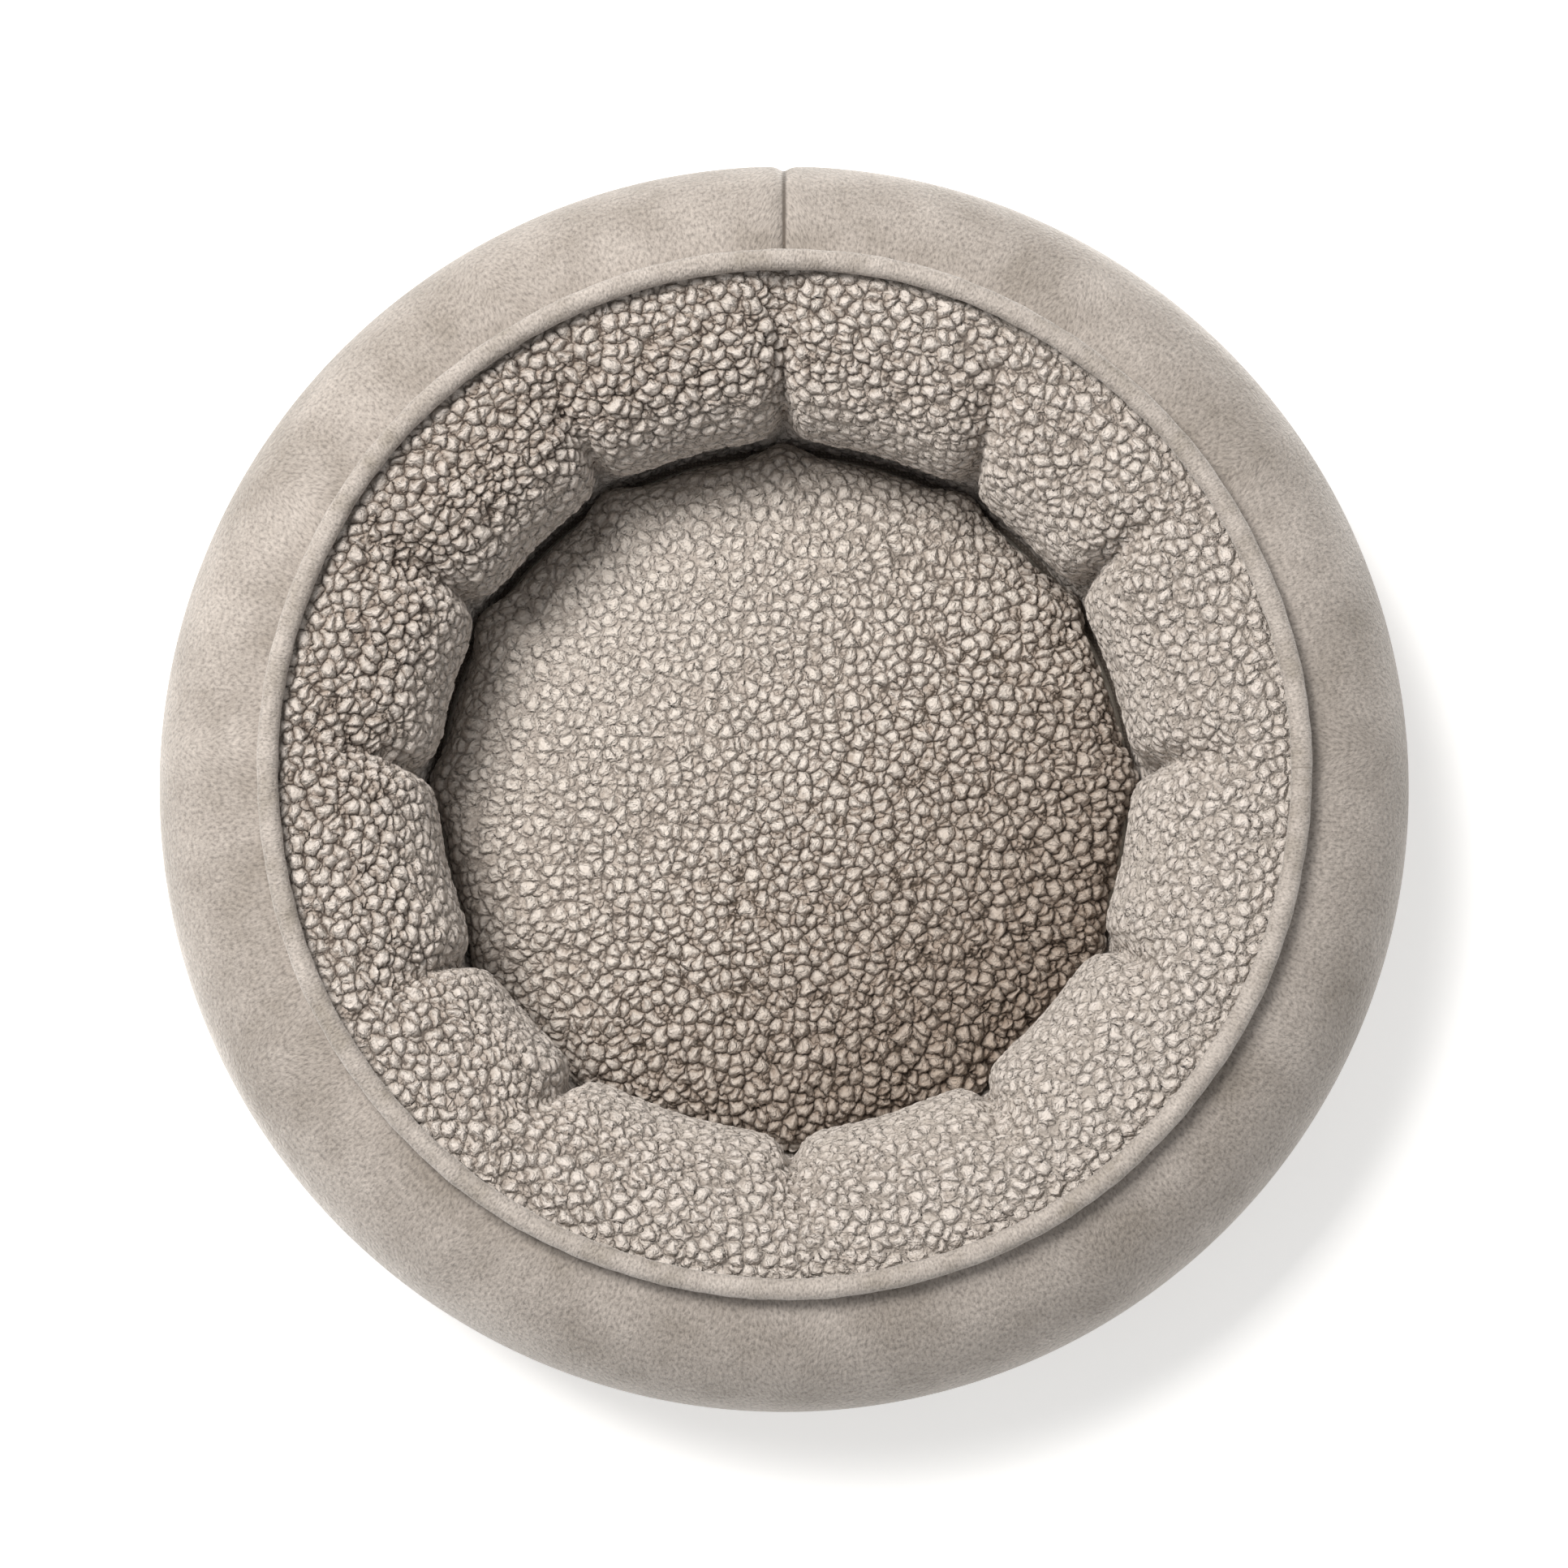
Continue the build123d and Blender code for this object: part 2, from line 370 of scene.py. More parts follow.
@dataclass(frozen=True)
class VelvetFinish:
    """Short-pile polyester velvet, knitted and sheared: a soft nap that catches the light."""

    name: str
    light: str
    middle: str
    dark: str
    rim: str
    sheen: float
    seam: str  # where the nap closes over the sewn line at the start of the cloth
    patch: float = 45 * MM  # brushed patches of the nap
    grain: float = 1.35 * MM  # tufts, drawn coarser than the real 0.4 mm so that they show
    grain_depth: float = 0.7 * MM

    def material(self) -> Material:
        """Build the velvet's material."""
        tree, shader = new_material(self.name, 0.82, self.sheen, self.rim)
        place = add_node(tree, "ShaderNodeTexCoord").outputs["Object"]
        cloth = add_node(tree, "ShaderNodeUVMap", uv_map="cloth").outputs["UV"]
        patches = noise(tree, place, self.patch, 4.0, 0.6)
        nap = ramp(tree, patches, [(0.3, self.dark), (0.5, self.middle), (0.7, self.light)])
        grain = noise(tree, stretched(tree, cloth, (1.0, 0.55, 1.0)), self.grain, 2.0, 0.6)
        specks = ramp(tree, grain, [(0.3, "8c8c8c"), (0.48, "c6c6c6"), (0.7, "eaeaea")])
        colour = mix(tree, 0.62, nap, specks, "OVERLAY")
        around = add_node(tree, "ShaderNodeSeparateXYZ", {0: cloth}).outputs[0]
        around = arithmetic(tree, "ABSOLUTE", around)
        links = {0: around, 1: 0.2 * MM, 2: 1.4 * MM}
        seam = add_node(tree, "ShaderNodeMapRange", links, interpolation_type="SMOOTHSTEP").outputs[0]
        colour = mix(tree, seam, linear(self.seam), colour)
        tree.links.new(colour, shader.inputs["Base Color"])
        strokes = noise(tree, stretched(tree, cloth, (1.0, 0.3, 1.0)), self.grain * 4, 3.0, 0.6)
        bump(tree, shader, [(patches, 1.5 * MM), (strokes, 0.9 * MM), (grain, self.grain_depth)])
        return bpy.data.materials[self.name]


@dataclass(frozen=True)
class SherpaFinish:
    """Curly polyester sherpa, brushed and tumbled: pale matted curls, with painted shade in the cracks
    between them and low on each curl.
    """

    name: str
    # colour of the painted shade in the cracks between curls
    crack_shade: str
    shade: str
    tip: str
    fibre: float = 0.8 * MM  # single fibres, drawn coarser than the real 0.05 mm

    def material(self) -> Material:
        """Build the sherpa's material on the cell coordinates that the pile tree stores."""
        tree, shader = new_material(self.name, 0.95, 0.25, "e9e0d8")
        place = add_node(tree, "ShaderNodeTexCoord").outputs["Object"]
        cells = add_node(tree, "ShaderNodeAttribute", attribute_name="curl_place").outputs["Vector"]
        height = add_node(tree, "ShaderNodeAttribute", attribute_name="curl_height").outputs["Fac"]
        pile = add_node(tree, "ShaderNodeAttribute", attribute_name="pile").outputs["Fac"]

        links = {"Vector": cells, "Scale": 1.0, "Randomness": 0.88}
        edge = add_node(tree, "ShaderNodeTexVoronoi", links, feature="DISTANCE_TO_EDGE").outputs["Distance"]
        far = add_node(tree, "ShaderNodeTexVoronoi", links, feature="F1").outputs["Distance"]
        joined = noise(tree, cells, 0.75, 2.0)
        open_up = map_range(tree, joined, (0.36, 0.60), (0.15, 1.0))
        corner = map_range(tree, far, (0.34, 0.78), (0.012, 0.13))
        width = arithmetic(tree, "MULTIPLY", open_up, corner)
        crack = self.step(tree, edge, width)
        # How far in from a curl's edge the painted shade of the hollow reaches.
        edge_shade_mask = self.step(tree, edge, 0.24)
        curl = self.puff(tree, edge, 0.50)
        crown = map_range(tree, far, (0.2, 0.8), (1.0, 0.0))
        links = {"Vector": cells, "Scale": 2.3}
        small = add_node(tree, "ShaderNodeTexVoronoi", links, feature="DISTANCE_TO_EDGE").outputs["Distance"]
        lump = self.puff(tree, small, 0.40)

        # Painted shade low on each curl, by its height, up to the tips' colour.
        pale = ramp(tree, height, [(0.1, self.shade), (0.75, self.tip)])
        tufts = noise(tree, place, 1.6 * MM, 3.0, 0.65)
        pale = mix(tree, 0.25, pale, ramp(tree, tufts, [(0.3, "989898"), (0.7, "d2d2d2")]), "OVERLAY")
        # Painted shade in the hollow along each curl's edge, deeper where the pile stands higher.
        edge_shade = mix(tree, edge_shade_mask, ramp(tree, pile, [(0.4, "f6f6f6"), (1.0, "cfc7c1")]), (1.0, 1.0, 1.0, 1.0))
        pale = mix(tree, 1.0, pale, edge_shade, "MULTIPLY")
        # Painted shade where the pile stands highest, on the sides away from the lamp.
        far_side_shade = map_range(tree, pile, (0.92, 1.45), (0.0, 1.0))
        pale = mix(tree, 1.0, pale, ramp(tree, far_side_shade, [(0.0, "ffffff"), (1.0, "d0c8c1")]), "MULTIPLY")
        # Painted shade in the cracks between curls, darker where the pile stands higher.
        dark = ramp(tree, pile, [(0.42, self.shade), (0.95, self.crack_shade)])
        tree.links.new(mix(tree, crack, dark, pale), shader.inputs["Base Color"])

        fibres = noise(tree, place, self.fibre, 3.0, 0.7)
        layers = [(curl, 1.5 * MM), (crown, 1.1 * MM), (lump, 0.3 * MM)]
        layers += [(tufts, 0.5 * MM), (fibres, 0.28 * MM)]
        bump(tree, shader, layers)
        return bpy.data.materials[self.name]

    @staticmethod
    def puff(tree: Tree, value: Socket, width: float) -> Socket:
        """Return a round swelling that rises steeply from a cell's edge."""
        inward = map_range(tree, value, (0.0, width), (1.0, 0.0))
        return arithmetic(tree, "SUBTRACT", 1.0, arithmetic(tree, "POWER", inward, 2.2))

    @staticmethod
    def step(tree: Tree, value: Socket, width: Any) -> Socket:
        """Return a smooth step of a distance from 0 at a cell's edge to 1 at a width."""
        links = {0: value, 1: 0.0, 2: width}
        return add_node(tree, "ShaderNodeMapRange", links, interpolation_type="SMOOTHSTEP").outputs[0]


@dataclass(frozen=True)
class WovenFinish:
    """Plain-woven polyester: threads over and under, seen as a fine even grid."""

    name: str
    light: str
    dark: str
    thread: float = 0.9 * MM

    def material(self) -> Material:
        """Build the woven cloth's material."""
        tree, shader = new_material(self.name, 0.85, 0.1, "d8d0c8")
        place = add_node(tree, "ShaderNodeTexCoord").outputs["Object"]
        weave = []
        for axis in ("X", "Y"):
            links = {"Vector": place, "Scale": 1 / (self.thread * 6.3), "Distortion": 0.4}
            weave.append(add_node(tree, "ShaderNodeTexWave", links, bands_direction=axis).outputs["Fac"])
        grid = arithmetic(tree, "MULTIPLY", weave[0], weave[1])
        tree.links.new(ramp(tree, grid, [(0.0, self.dark), (0.6, self.light)]), shader.inputs["Base Color"])
        bump(tree, shader, [(grid, 0.25 * MM)])
        return bpy.data.materials[self.name]


@dataclass(frozen=True)
class FibreFinish:
    """Loose or twisted fibres: spun thread, filler cord, wadding and stuffing."""

    name: str
    light: str
    dark: str
    fibre: float
    stretch: Place = (1.0, 1.0, 1.0)

    def material(self) -> Material:
        """Build the fibres' material."""
        tree, shader = new_material(self.name, 0.9, 0.15, "f0ece6")
        place = add_node(tree, "ShaderNodeTexCoord").outputs["Object"]
        strands = noise(tree, stretched(tree, place, self.stretch), self.fibre, 4.0, 0.7)
        colour = ramp(tree, strands, [(0.3, self.dark), (0.7, self.light)])
        tree.links.new(colour, shader.inputs["Base Color"])
        bump(tree, shader, [(strands, self.fibre * 0.4)])
        return bpy.data.materials[self.name]


@dataclass(frozen=True)
class GripFinish:
    """Silicone grip dots, screen printed: smooth, rubbery and a little glossy."""

    name: str
    colour: str

    def material(self) -> Material:
        """Build the dots' material."""
        tree, shader = new_material(self.name, 0.45, 0.0, "ffffff")
        shader.inputs["Specular IOR Level"].default_value = 0.5
        place = add_node(tree, "ShaderNodeTexCoord").outputs["Object"]
        dust = noise(tree, place, 2 * MM)
        tree.links.new(ramp(tree, dust, [(0.3, self.colour), (0.8, "5a5450")]), shader.inputs["Base Color"])
        bump(tree, shader, [(dust, 0.05 * MM)])
        return bpy.data.materials[self.name]


class Cloth(Enum):
    """The finishes that the bed is made of."""

    COVER = VelvetFinish("sheared velvet cover", "a8a099", "9a928b", "8a827a", "f8f5f1", 0.6, "5e564f")
    PIPING = VelvetFinish(
        "sheared velvet piping", "b0a8a1", "a39b94", "90887f", "f8f5f1", 0.55, "8e867e", 18 * MM, 1.1 * MM
    )
    UNDERSIDE = VelvetFinish(
        "sheared velvet underside", "bfb5ac", "aea49b", "9b9087", "efe7df", 0.3, "9b9087"
    )
    # Sherpa colours: painted shade in the cracks, painted shade low on each curl, then the tips.
    LINING = SherpaFinish("curly sherpa lining", "5c5048", "c6bdb4", "dcd3cb")
    CUSHION = SherpaFinish("curly sherpa cushion", "54493f", "cac0b7", "e2d9d0")
    THREAD = FibreFinish("spun polyester thread", "8a7d72", "5f544b", 0.3 * MM)
    CORD = FibreFinish("twisted filler cord", "e6e0d6", "c4bcb0", 0.8 * MM)
    FILL = FibreFinish("carded polyester stuffing", "f4f2ee", "d8d5cf", 6 * MM)
    FELT = FibreFinish("needled felt wadding", "d9d5cd", "b9b4ab", 1.5 * MM)
    BASE = WovenFinish("woven non-slip base cloth", "857c73", "655d55")
    FLOOR = WovenFinish("woven well cloth", "b0a59b", "8d8278")
    DOTS = GripFinish("printed silicone dots", "544d47")

    def dress(self, piece: Piece) -> None:
        """Give a piece this finish, as its only material."""
        piece.data.materials.clear()
        piece.data.materials.append(self.material())

    def material(self) -> Material:
        """Return this finish's material, built at its first use."""
        known = bpy.data.materials.get(self.value.name)
        return known or self.value.material()


# ---- Geometry Nodes: what repeats ---------------------------------------------------------


def new_tree(name: str, sizes: Sizes) -> tuple[Tree, Node]:
    """Start a geometry tree with named number inputs.

    Args:
        name: the tree's name.
        sizes: input names, each with its default value.

    Returns:
        The tree and its group input node.
    """
    tree = bpy.data.node_groups.new(name, "GeometryNodeTree")
    tree.interface.new_socket("Geometry", in_out="INPUT", socket_type="NodeSocketGeometry")
    tree.interface.new_socket("Geometry", in_out="OUTPUT", socket_type="NodeSocketGeometry")
    for label, value in sizes.items():
        socket = tree.interface.new_socket(label, in_out="INPUT", socket_type="NodeSocketFloat")
        socket.default_value = value
    return tree, tree.nodes.new("NodeGroupInput")


def end_tree(tree: Tree, geometry: Socket, material: Material) -> None:
    """End a tree by making its instances real and giving them a material."""
    real = add_node(tree, "GeometryNodeRealizeInstances", {"Geometry": geometry})
    done = add_node(tree, "GeometryNodeSetMaterial", {"Geometry": real.outputs[0], "Material": material})
    add_node(tree, "NodeGroupOutput", {"Geometry": done.outputs[0]})


def run_tree(piece: Piece, tree: Tree, sizes: Sizes) -> Piece:
    """Run a tree on a piece with its own sizes and keep the plain mesh.

    Args:
        piece: the object that the tree works on.
        tree: the geometry tree.
        sizes: values for the tree's named inputs.

    Returns:
        The piece, with the result as its mesh.
    """
    modifier = piece.modifiers.new(tree.name, "NODES")
    modifier.node_group = tree
    sockets = {item.name: item.identifier for item in tree.interface.items_tree if item.in_out == "INPUT"}
    for label, value in sizes.items():
        modifier[sockets[label]] = float(value)
    return baked(piece)


def named_value(tree: Tree, name: str, kind: str) -> Socket:
    """Return a named attribute of a geometry tree's surface."""
    return add_node(tree, "GeometryNodeInputNamedAttribute", {"Name": name}, data_type=kind).outputs[0]


def pile_tree(material: Material) -> Tree:
    """Build the tree that raises matted curls out of a surface.

    Curls are the cells of a warped 3-D Voronoi pattern, so that each one has its own size,
    outline and height. Some of the cracks between them close up, as where curls are matted
    together, and a finer pattern makes each curl lumpy. The surface's "pile" attribute says
    how high they stand, and "comb" how far they lean.

    Args:
        material: the sherpa that the surface gets.

    Returns:
        The tree.
    """
    sizes = {"Curl": 6 * MM, "Relief": 2 * MM, "Warp": 0.6, "Gap": 0.35, "Seed": 1.0}
    tree, group = new_tree("sherpa pile", sizes)
    rest = add_node(tree, "GeometryNodeInputPosition").outputs[0]
    comb = named_value(tree, "comb", "FLOAT_VECTOR")
    combed = vector_math(tree, "ADD", rest, comb)
    per_metre = arithmetic(tree, "DIVIDE", 1.0, group.outputs["Curl"])
    plain = vector_math(tree, "SCALE", combed, scale=per_metre)
    links = {"Vector": plain, "W": group.outputs["Seed"], "Scale": 1.1, "Detail": 3.0}
    waves = add_node(tree, "ShaderNodeTexNoise", links, noise_dimensions="4D").outputs["Color"]
    waves = vector_math(tree, "SUBTRACT", waves, (0.5, 0.5, 0.5))
    cells = vector_math(tree, "ADD", plain, vector_math(tree, "SCALE", waves, scale=group.outputs["Warp"]))
    links = {"Vector": plain, "W": group.outputs["Seed"], "Scale": 3.1, "Detail": 1.0}
    ripples = add_node(tree, "ShaderNodeTexNoise", links, noise_dimensions="4D").outputs["Color"]
    ripples = vector_math(tree, "SUBTRACT", ripples, (0.5, 0.5, 0.5))
    cells = vector_math(tree, "ADD", cells, vector_math(tree, "SCALE", ripples, scale=0.34))

    links = {"Vector": cells, "Scale": 1.0, "Randomness": 0.88}
    edge = add_node(tree, "ShaderNodeTexVoronoi", links, feature="DISTANCE_TO_EDGE").outputs["Distance"]
    cell = add_node(tree, "ShaderNodeTexVoronoi", links, feature="F1")
    own = add_node(tree, "ShaderNodeSeparateXYZ", {0: cell.outputs["Color"]}).outputs[0]
    inward = arithmetic(tree, "MINIMUM", arithmetic(tree, "DIVIDE", edge, group.outputs["Gap"]), 1.0)
    side = arithmetic(tree, "SUBTRACT", 1.0, inward)
    square = arithmetic(tree, "MULTIPLY", side, side)
    dome = arithmetic(tree, "SQRT", arithmetic(tree, "SUBTRACT", 1.0, square))
    links = {"Vector": cells, "Scale": 1 / 0.75, "Detail": 2.0}
    joined = add_node(tree, "ShaderNodeTexNoise", links).outputs["Fac"]
    open_up = map_range(tree, joined, (0.35, 0.62), (0.2, 1.0))
    dip = arithmetic(tree, "MULTIPLY", arithmetic(tree, "SUBTRACT", 1.0, dome), open_up)
    tall = arithmetic(tree, "MULTIPLY_ADD", own, 0.35, 0.65)
    corner = arithmetic(tree, "MAXIMUM", arithmetic(tree, "SUBTRACT", cell.outputs["Distance"], 0.3), 0.0)
    dip = arithmetic(tree, "MULTIPLY_ADD", corner, 0.8, dip)
    curl = arithmetic(tree, "MULTIPLY", arithmetic(tree, "SUBTRACT", 1.0, dip), tall)

    links = {"Vector": cells, "Scale": 2.3, "Randomness": 1.0}
    fine = add_node(tree, "ShaderNodeTexVoronoi", links, feature="SMOOTH_F1").outputs["Distance"]
    height = arithmetic(tree, "MULTIPLY_ADD", arithmetic(tree, "SUBTRACT", 0.45, fine), 0.5, curl)

    pile = named_value(tree, "pile", "FLOAT")
    normal = add_node(tree, "GeometryNodeInputNormal").outputs[0]
    rise = arithmetic(tree, "MULTIPLY", arithmetic(tree, "SUBTRACT", height, 0.5), group.outputs["Relief"])
    offset = vector_math(tree, "SCALE", normal, scale=arithmetic(tree, "MULTIPLY", rise, pile))
    stored = group.outputs["Geometry"]
    for name, value, kind in (("curl_height", height, "FLOAT"), ("curl_place", cells, "FLOAT_VECTOR")):
        links = {"Geometry": stored, "Name": name, "Value": value}
        store = add_node(tree, "GeometryNodeStoreNamedAttribute", links, data_type=kind, domain="POINT")
        stored = store.outputs[0]
    moved = add_node(tree, "GeometryNodeSetPosition", {"Geometry": stored, "Offset": offset})
    end_tree(tree, moved.outputs[0], material)
    return tree


def stitch_tree(material: Material) -> Tree:
    """Build the tree that lays one short thread after another along a line of edges.

    Args:
        material: the thread's material.

    Returns:
        The tree.
    """
    tree, group = new_tree("stitches", {"Pitch": 2.4 * MM, "Length": 1.7 * MM, "Thread": 0.5 * MM})
    line = add_node(tree, "GeometryNodeMeshToCurve", {"Mesh": group.outputs["Geometry"]})
    links = {"Curve": line.outputs[0], "Length": group.outputs["Pitch"]}
    spots = add_node(tree, "GeometryNodeResampleCurve", links, mode="LENGTH")
    along = add_node(tree, "GeometryNodeInputTangent").outputs[0]
    turn = add_node(tree, "FunctionNodeAlignRotationToVector", {"Vector": along}, axis="X").outputs[0]
    ball = add_node(tree, "GeometryNodeMeshUVSphere", {"Segments": 6, "Rings": 5, "Radius": 0.5})
    thread = group.outputs["Thread"]
    size = add_node(tree, "ShaderNodeCombineXYZ", {"X": group.outputs["Length"], "Y": thread, "Z": thread})
    links = {"Points": spots.outputs[0], "Instance": ball.outputs[0], "Rotation": turn}
    links["Scale"] = size.outputs[0]
    end_tree(tree, add_node(tree, "GeometryNodeInstanceOnPoints", links).outputs[0], material)
    return tree


def dot_tree(material: Material) -> Tree:
    """Build the tree that prints a low round dot on every vertex of a grid.

    Args:
        material: the dots' material.

    Returns:
        The tree.
    """
    tree, group = new_tree("grip dots", {"Across": 4 * MM, "Rise": 0.6 * MM})
    ball = add_node(tree, "GeometryNodeMeshUVSphere", {"Segments": 8, "Rings": 4, "Radius": 0.5})
    across = group.outputs["Across"]
    size = add_node(tree, "ShaderNodeCombineXYZ", {"X": across, "Y": across, "Z": group.outputs["Rise"]})
    links = {"Points": group.outputs["Geometry"], "Instance": ball.outputs[0], "Scale": size.outputs[0]}
    end_tree(tree, add_node(tree, "GeometryNodeInstanceOnPoints", links).outputs[0], material)
    return tree


# ---- The bolster's shape ------------------------------------------------------------------


class Zone(Enum):
    """The cloths round the bolster's section."""

    LINING = 0
    COVER = 1
    BASE = 2


@dataclass(frozen=True)
class Tuck:
    """One tuck of the lining: where it starts, how deep it is and how it runs up the section.

    Fields are degrees round the bed, metres of depth, degrees up the section, degrees round
    the bed that its upper end leans, and the half-width of the valley at its upper end.
    """

    azimuth: float
    depth: float
    reach: float
    lean: float
    breadth: float


TUCKS = (
    Tuck(90.0, 8 * MM, 98, 0.5, 5 * MM),
    Tuck(58.5, 7.5 * MM, 84, 4.0, 10 * MM),
    Tuck(33.9, 8 * MM, 70, 0.5, 5 * MM),
    Tuck(2.4, 8 * MM, 76, 0.0, 5 * MM),
    Tuck(-26.7, 7.5 * MM, 56, -1.5, 6 * MM),
    Tuck(-57.1, 7.5 * MM, 60, -1.0, 6 * MM),
    Tuck(-89.0, 8 * MM, 68, 1.0, 5 * MM),
    Tuck(-125.0, 7 * MM, 62, -2.0, 8 * MM),
    Tuck(-150.5, 7 * MM, 72, -1.5, 8 * MM),
    Tuck(178.0, 8 * MM, 78, -3.0, 9 * MM),
    Tuck(149.8, 8 * MM, 80, 1.5, 9 * MM),
    Tuck(120.5, 8 * MM, 78, 1.5, 7 * MM),
)


@dataclass
class Section:
    """The bolster's half-section, read from the frame, as rows of points with normals."""

    crest_rows: int = 36
    wall_rows: int = 12
    cover_rows: int = 16
    side_rows: int = 10
    base_rows: int = 5
    mouth_gap: float = 2 * MM  # the cushion's clearance in the mouth of the well

    def __post_init__(self) -> None:
        """Read the section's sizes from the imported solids."""
        self.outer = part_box("outer_cover")[1][0]
        self.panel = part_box("outer_cover")[0][2]
        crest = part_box("bolster_lining")[1][2]
        self.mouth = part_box("cushion_base")[1][0] + self.mouth_gap
        self.outer_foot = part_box("base_panel")[1][0]
        self.inner_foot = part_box("base_wadding")[1][0]
        low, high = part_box("piping_cord")
        self.round = (self.outer - self.mouth) / 2
        self.centre = (self.outer + self.mouth) / 2
        self.middle = crest - self.round
        self.seam_r = high[0] - (high[2] - low[2]) / 2
        self.piping_z = (high[2] + low[2]) / 2
        self.lean = math.atan2(self.seam_r - self.centre, self.piping_z - self.middle)

    def lower_arc(self, outwards: bool, rows: int) -> list[tuple[float, ...]]:
        """Return the rows from the widest point down to the foot.

        Args:
            outwards: True for the outer side.
            rows: how many rows, without the first.

        Returns:
            Rows of radius, height and the normal's two parts.
        """
        sign = 1 if outwards else -1
        side = self.outer if outwards else self.mouth
        foot = self.outer_foot if outwards else self.inner_foot
        drop, shift = self.middle - self.panel, abs(side - foot)
        big = (drop**2 + shift**2) / (2 * shift)
        whole = math.asin(drop / big)
        points = []
        for i in range(rows):
            across, down = math.cos(whole * (i + 1) / rows), math.sin(whole * (i + 1) / rows)
            points.append((side - sign * big * (1 - across), self.middle - big * down, sign * across, -down))
        return points

    def crest_arc(self, start: float, end: float, rows: int) -> list[tuple[float, ...]]:
        """Return rows on the round crest between two angles above the inner horizontal."""
        turns = [math.radians(start + (end - start) * i / rows) for i in range(rows + 1)]
        points = []
        for a in turns:
            across, up = math.cos(a), math.sin(a)
            points.append((self.centre - self.round * across, self.middle + self.round * up, -across, up))
        return points

    def rows(self) -> tuple[Array, Array, Array]:
        """Return the closed section, clockwise from the inner foot over the crest.

        Returns:
            Rows of radius, height and normal; the zone of each row; and its angle up the
            section in degrees, negative below the mouth.
        """
        seam = 90 + math.degrees(self.lean)
        wall = self.lower_arc(False, self.wall_rows)[::-1]
        inner = self.crest_arc(0, seam, self.crest_rows)
        outer = self.crest_arc(seam, 180, self.cover_rows)[1:]
        side = self.lower_arc(True, self.side_rows)
        feet = np.linspace(self.outer_foot, self.inner_foot, self.base_rows + 2)[1:-1]
        base = [(radius, self.panel, 0, -1) for radius in feet]
        below = [-90.0 * (self.wall_rows - i) / self.wall_rows for i in range(self.wall_rows)]
        angles = below + [seam * i / self.crest_rows for i in range(self.crest_rows + 1)]
        angles += [seam + (180 - seam) * i / self.cover_rows for i in range(1, self.cover_rows + 1)]
        angles += [270.0] * (self.side_rows + self.base_rows)
        lining = len(wall) + len(inner)
        covers = len(outer) + len(side)
        zones = [Zone.LINING.value] * lining + [Zone.COVER.value] * covers + [Zone.BASE.value] * len(base)
        return np.array(wall + inner + outer + side + base), np.array(zones), np.array(angles)


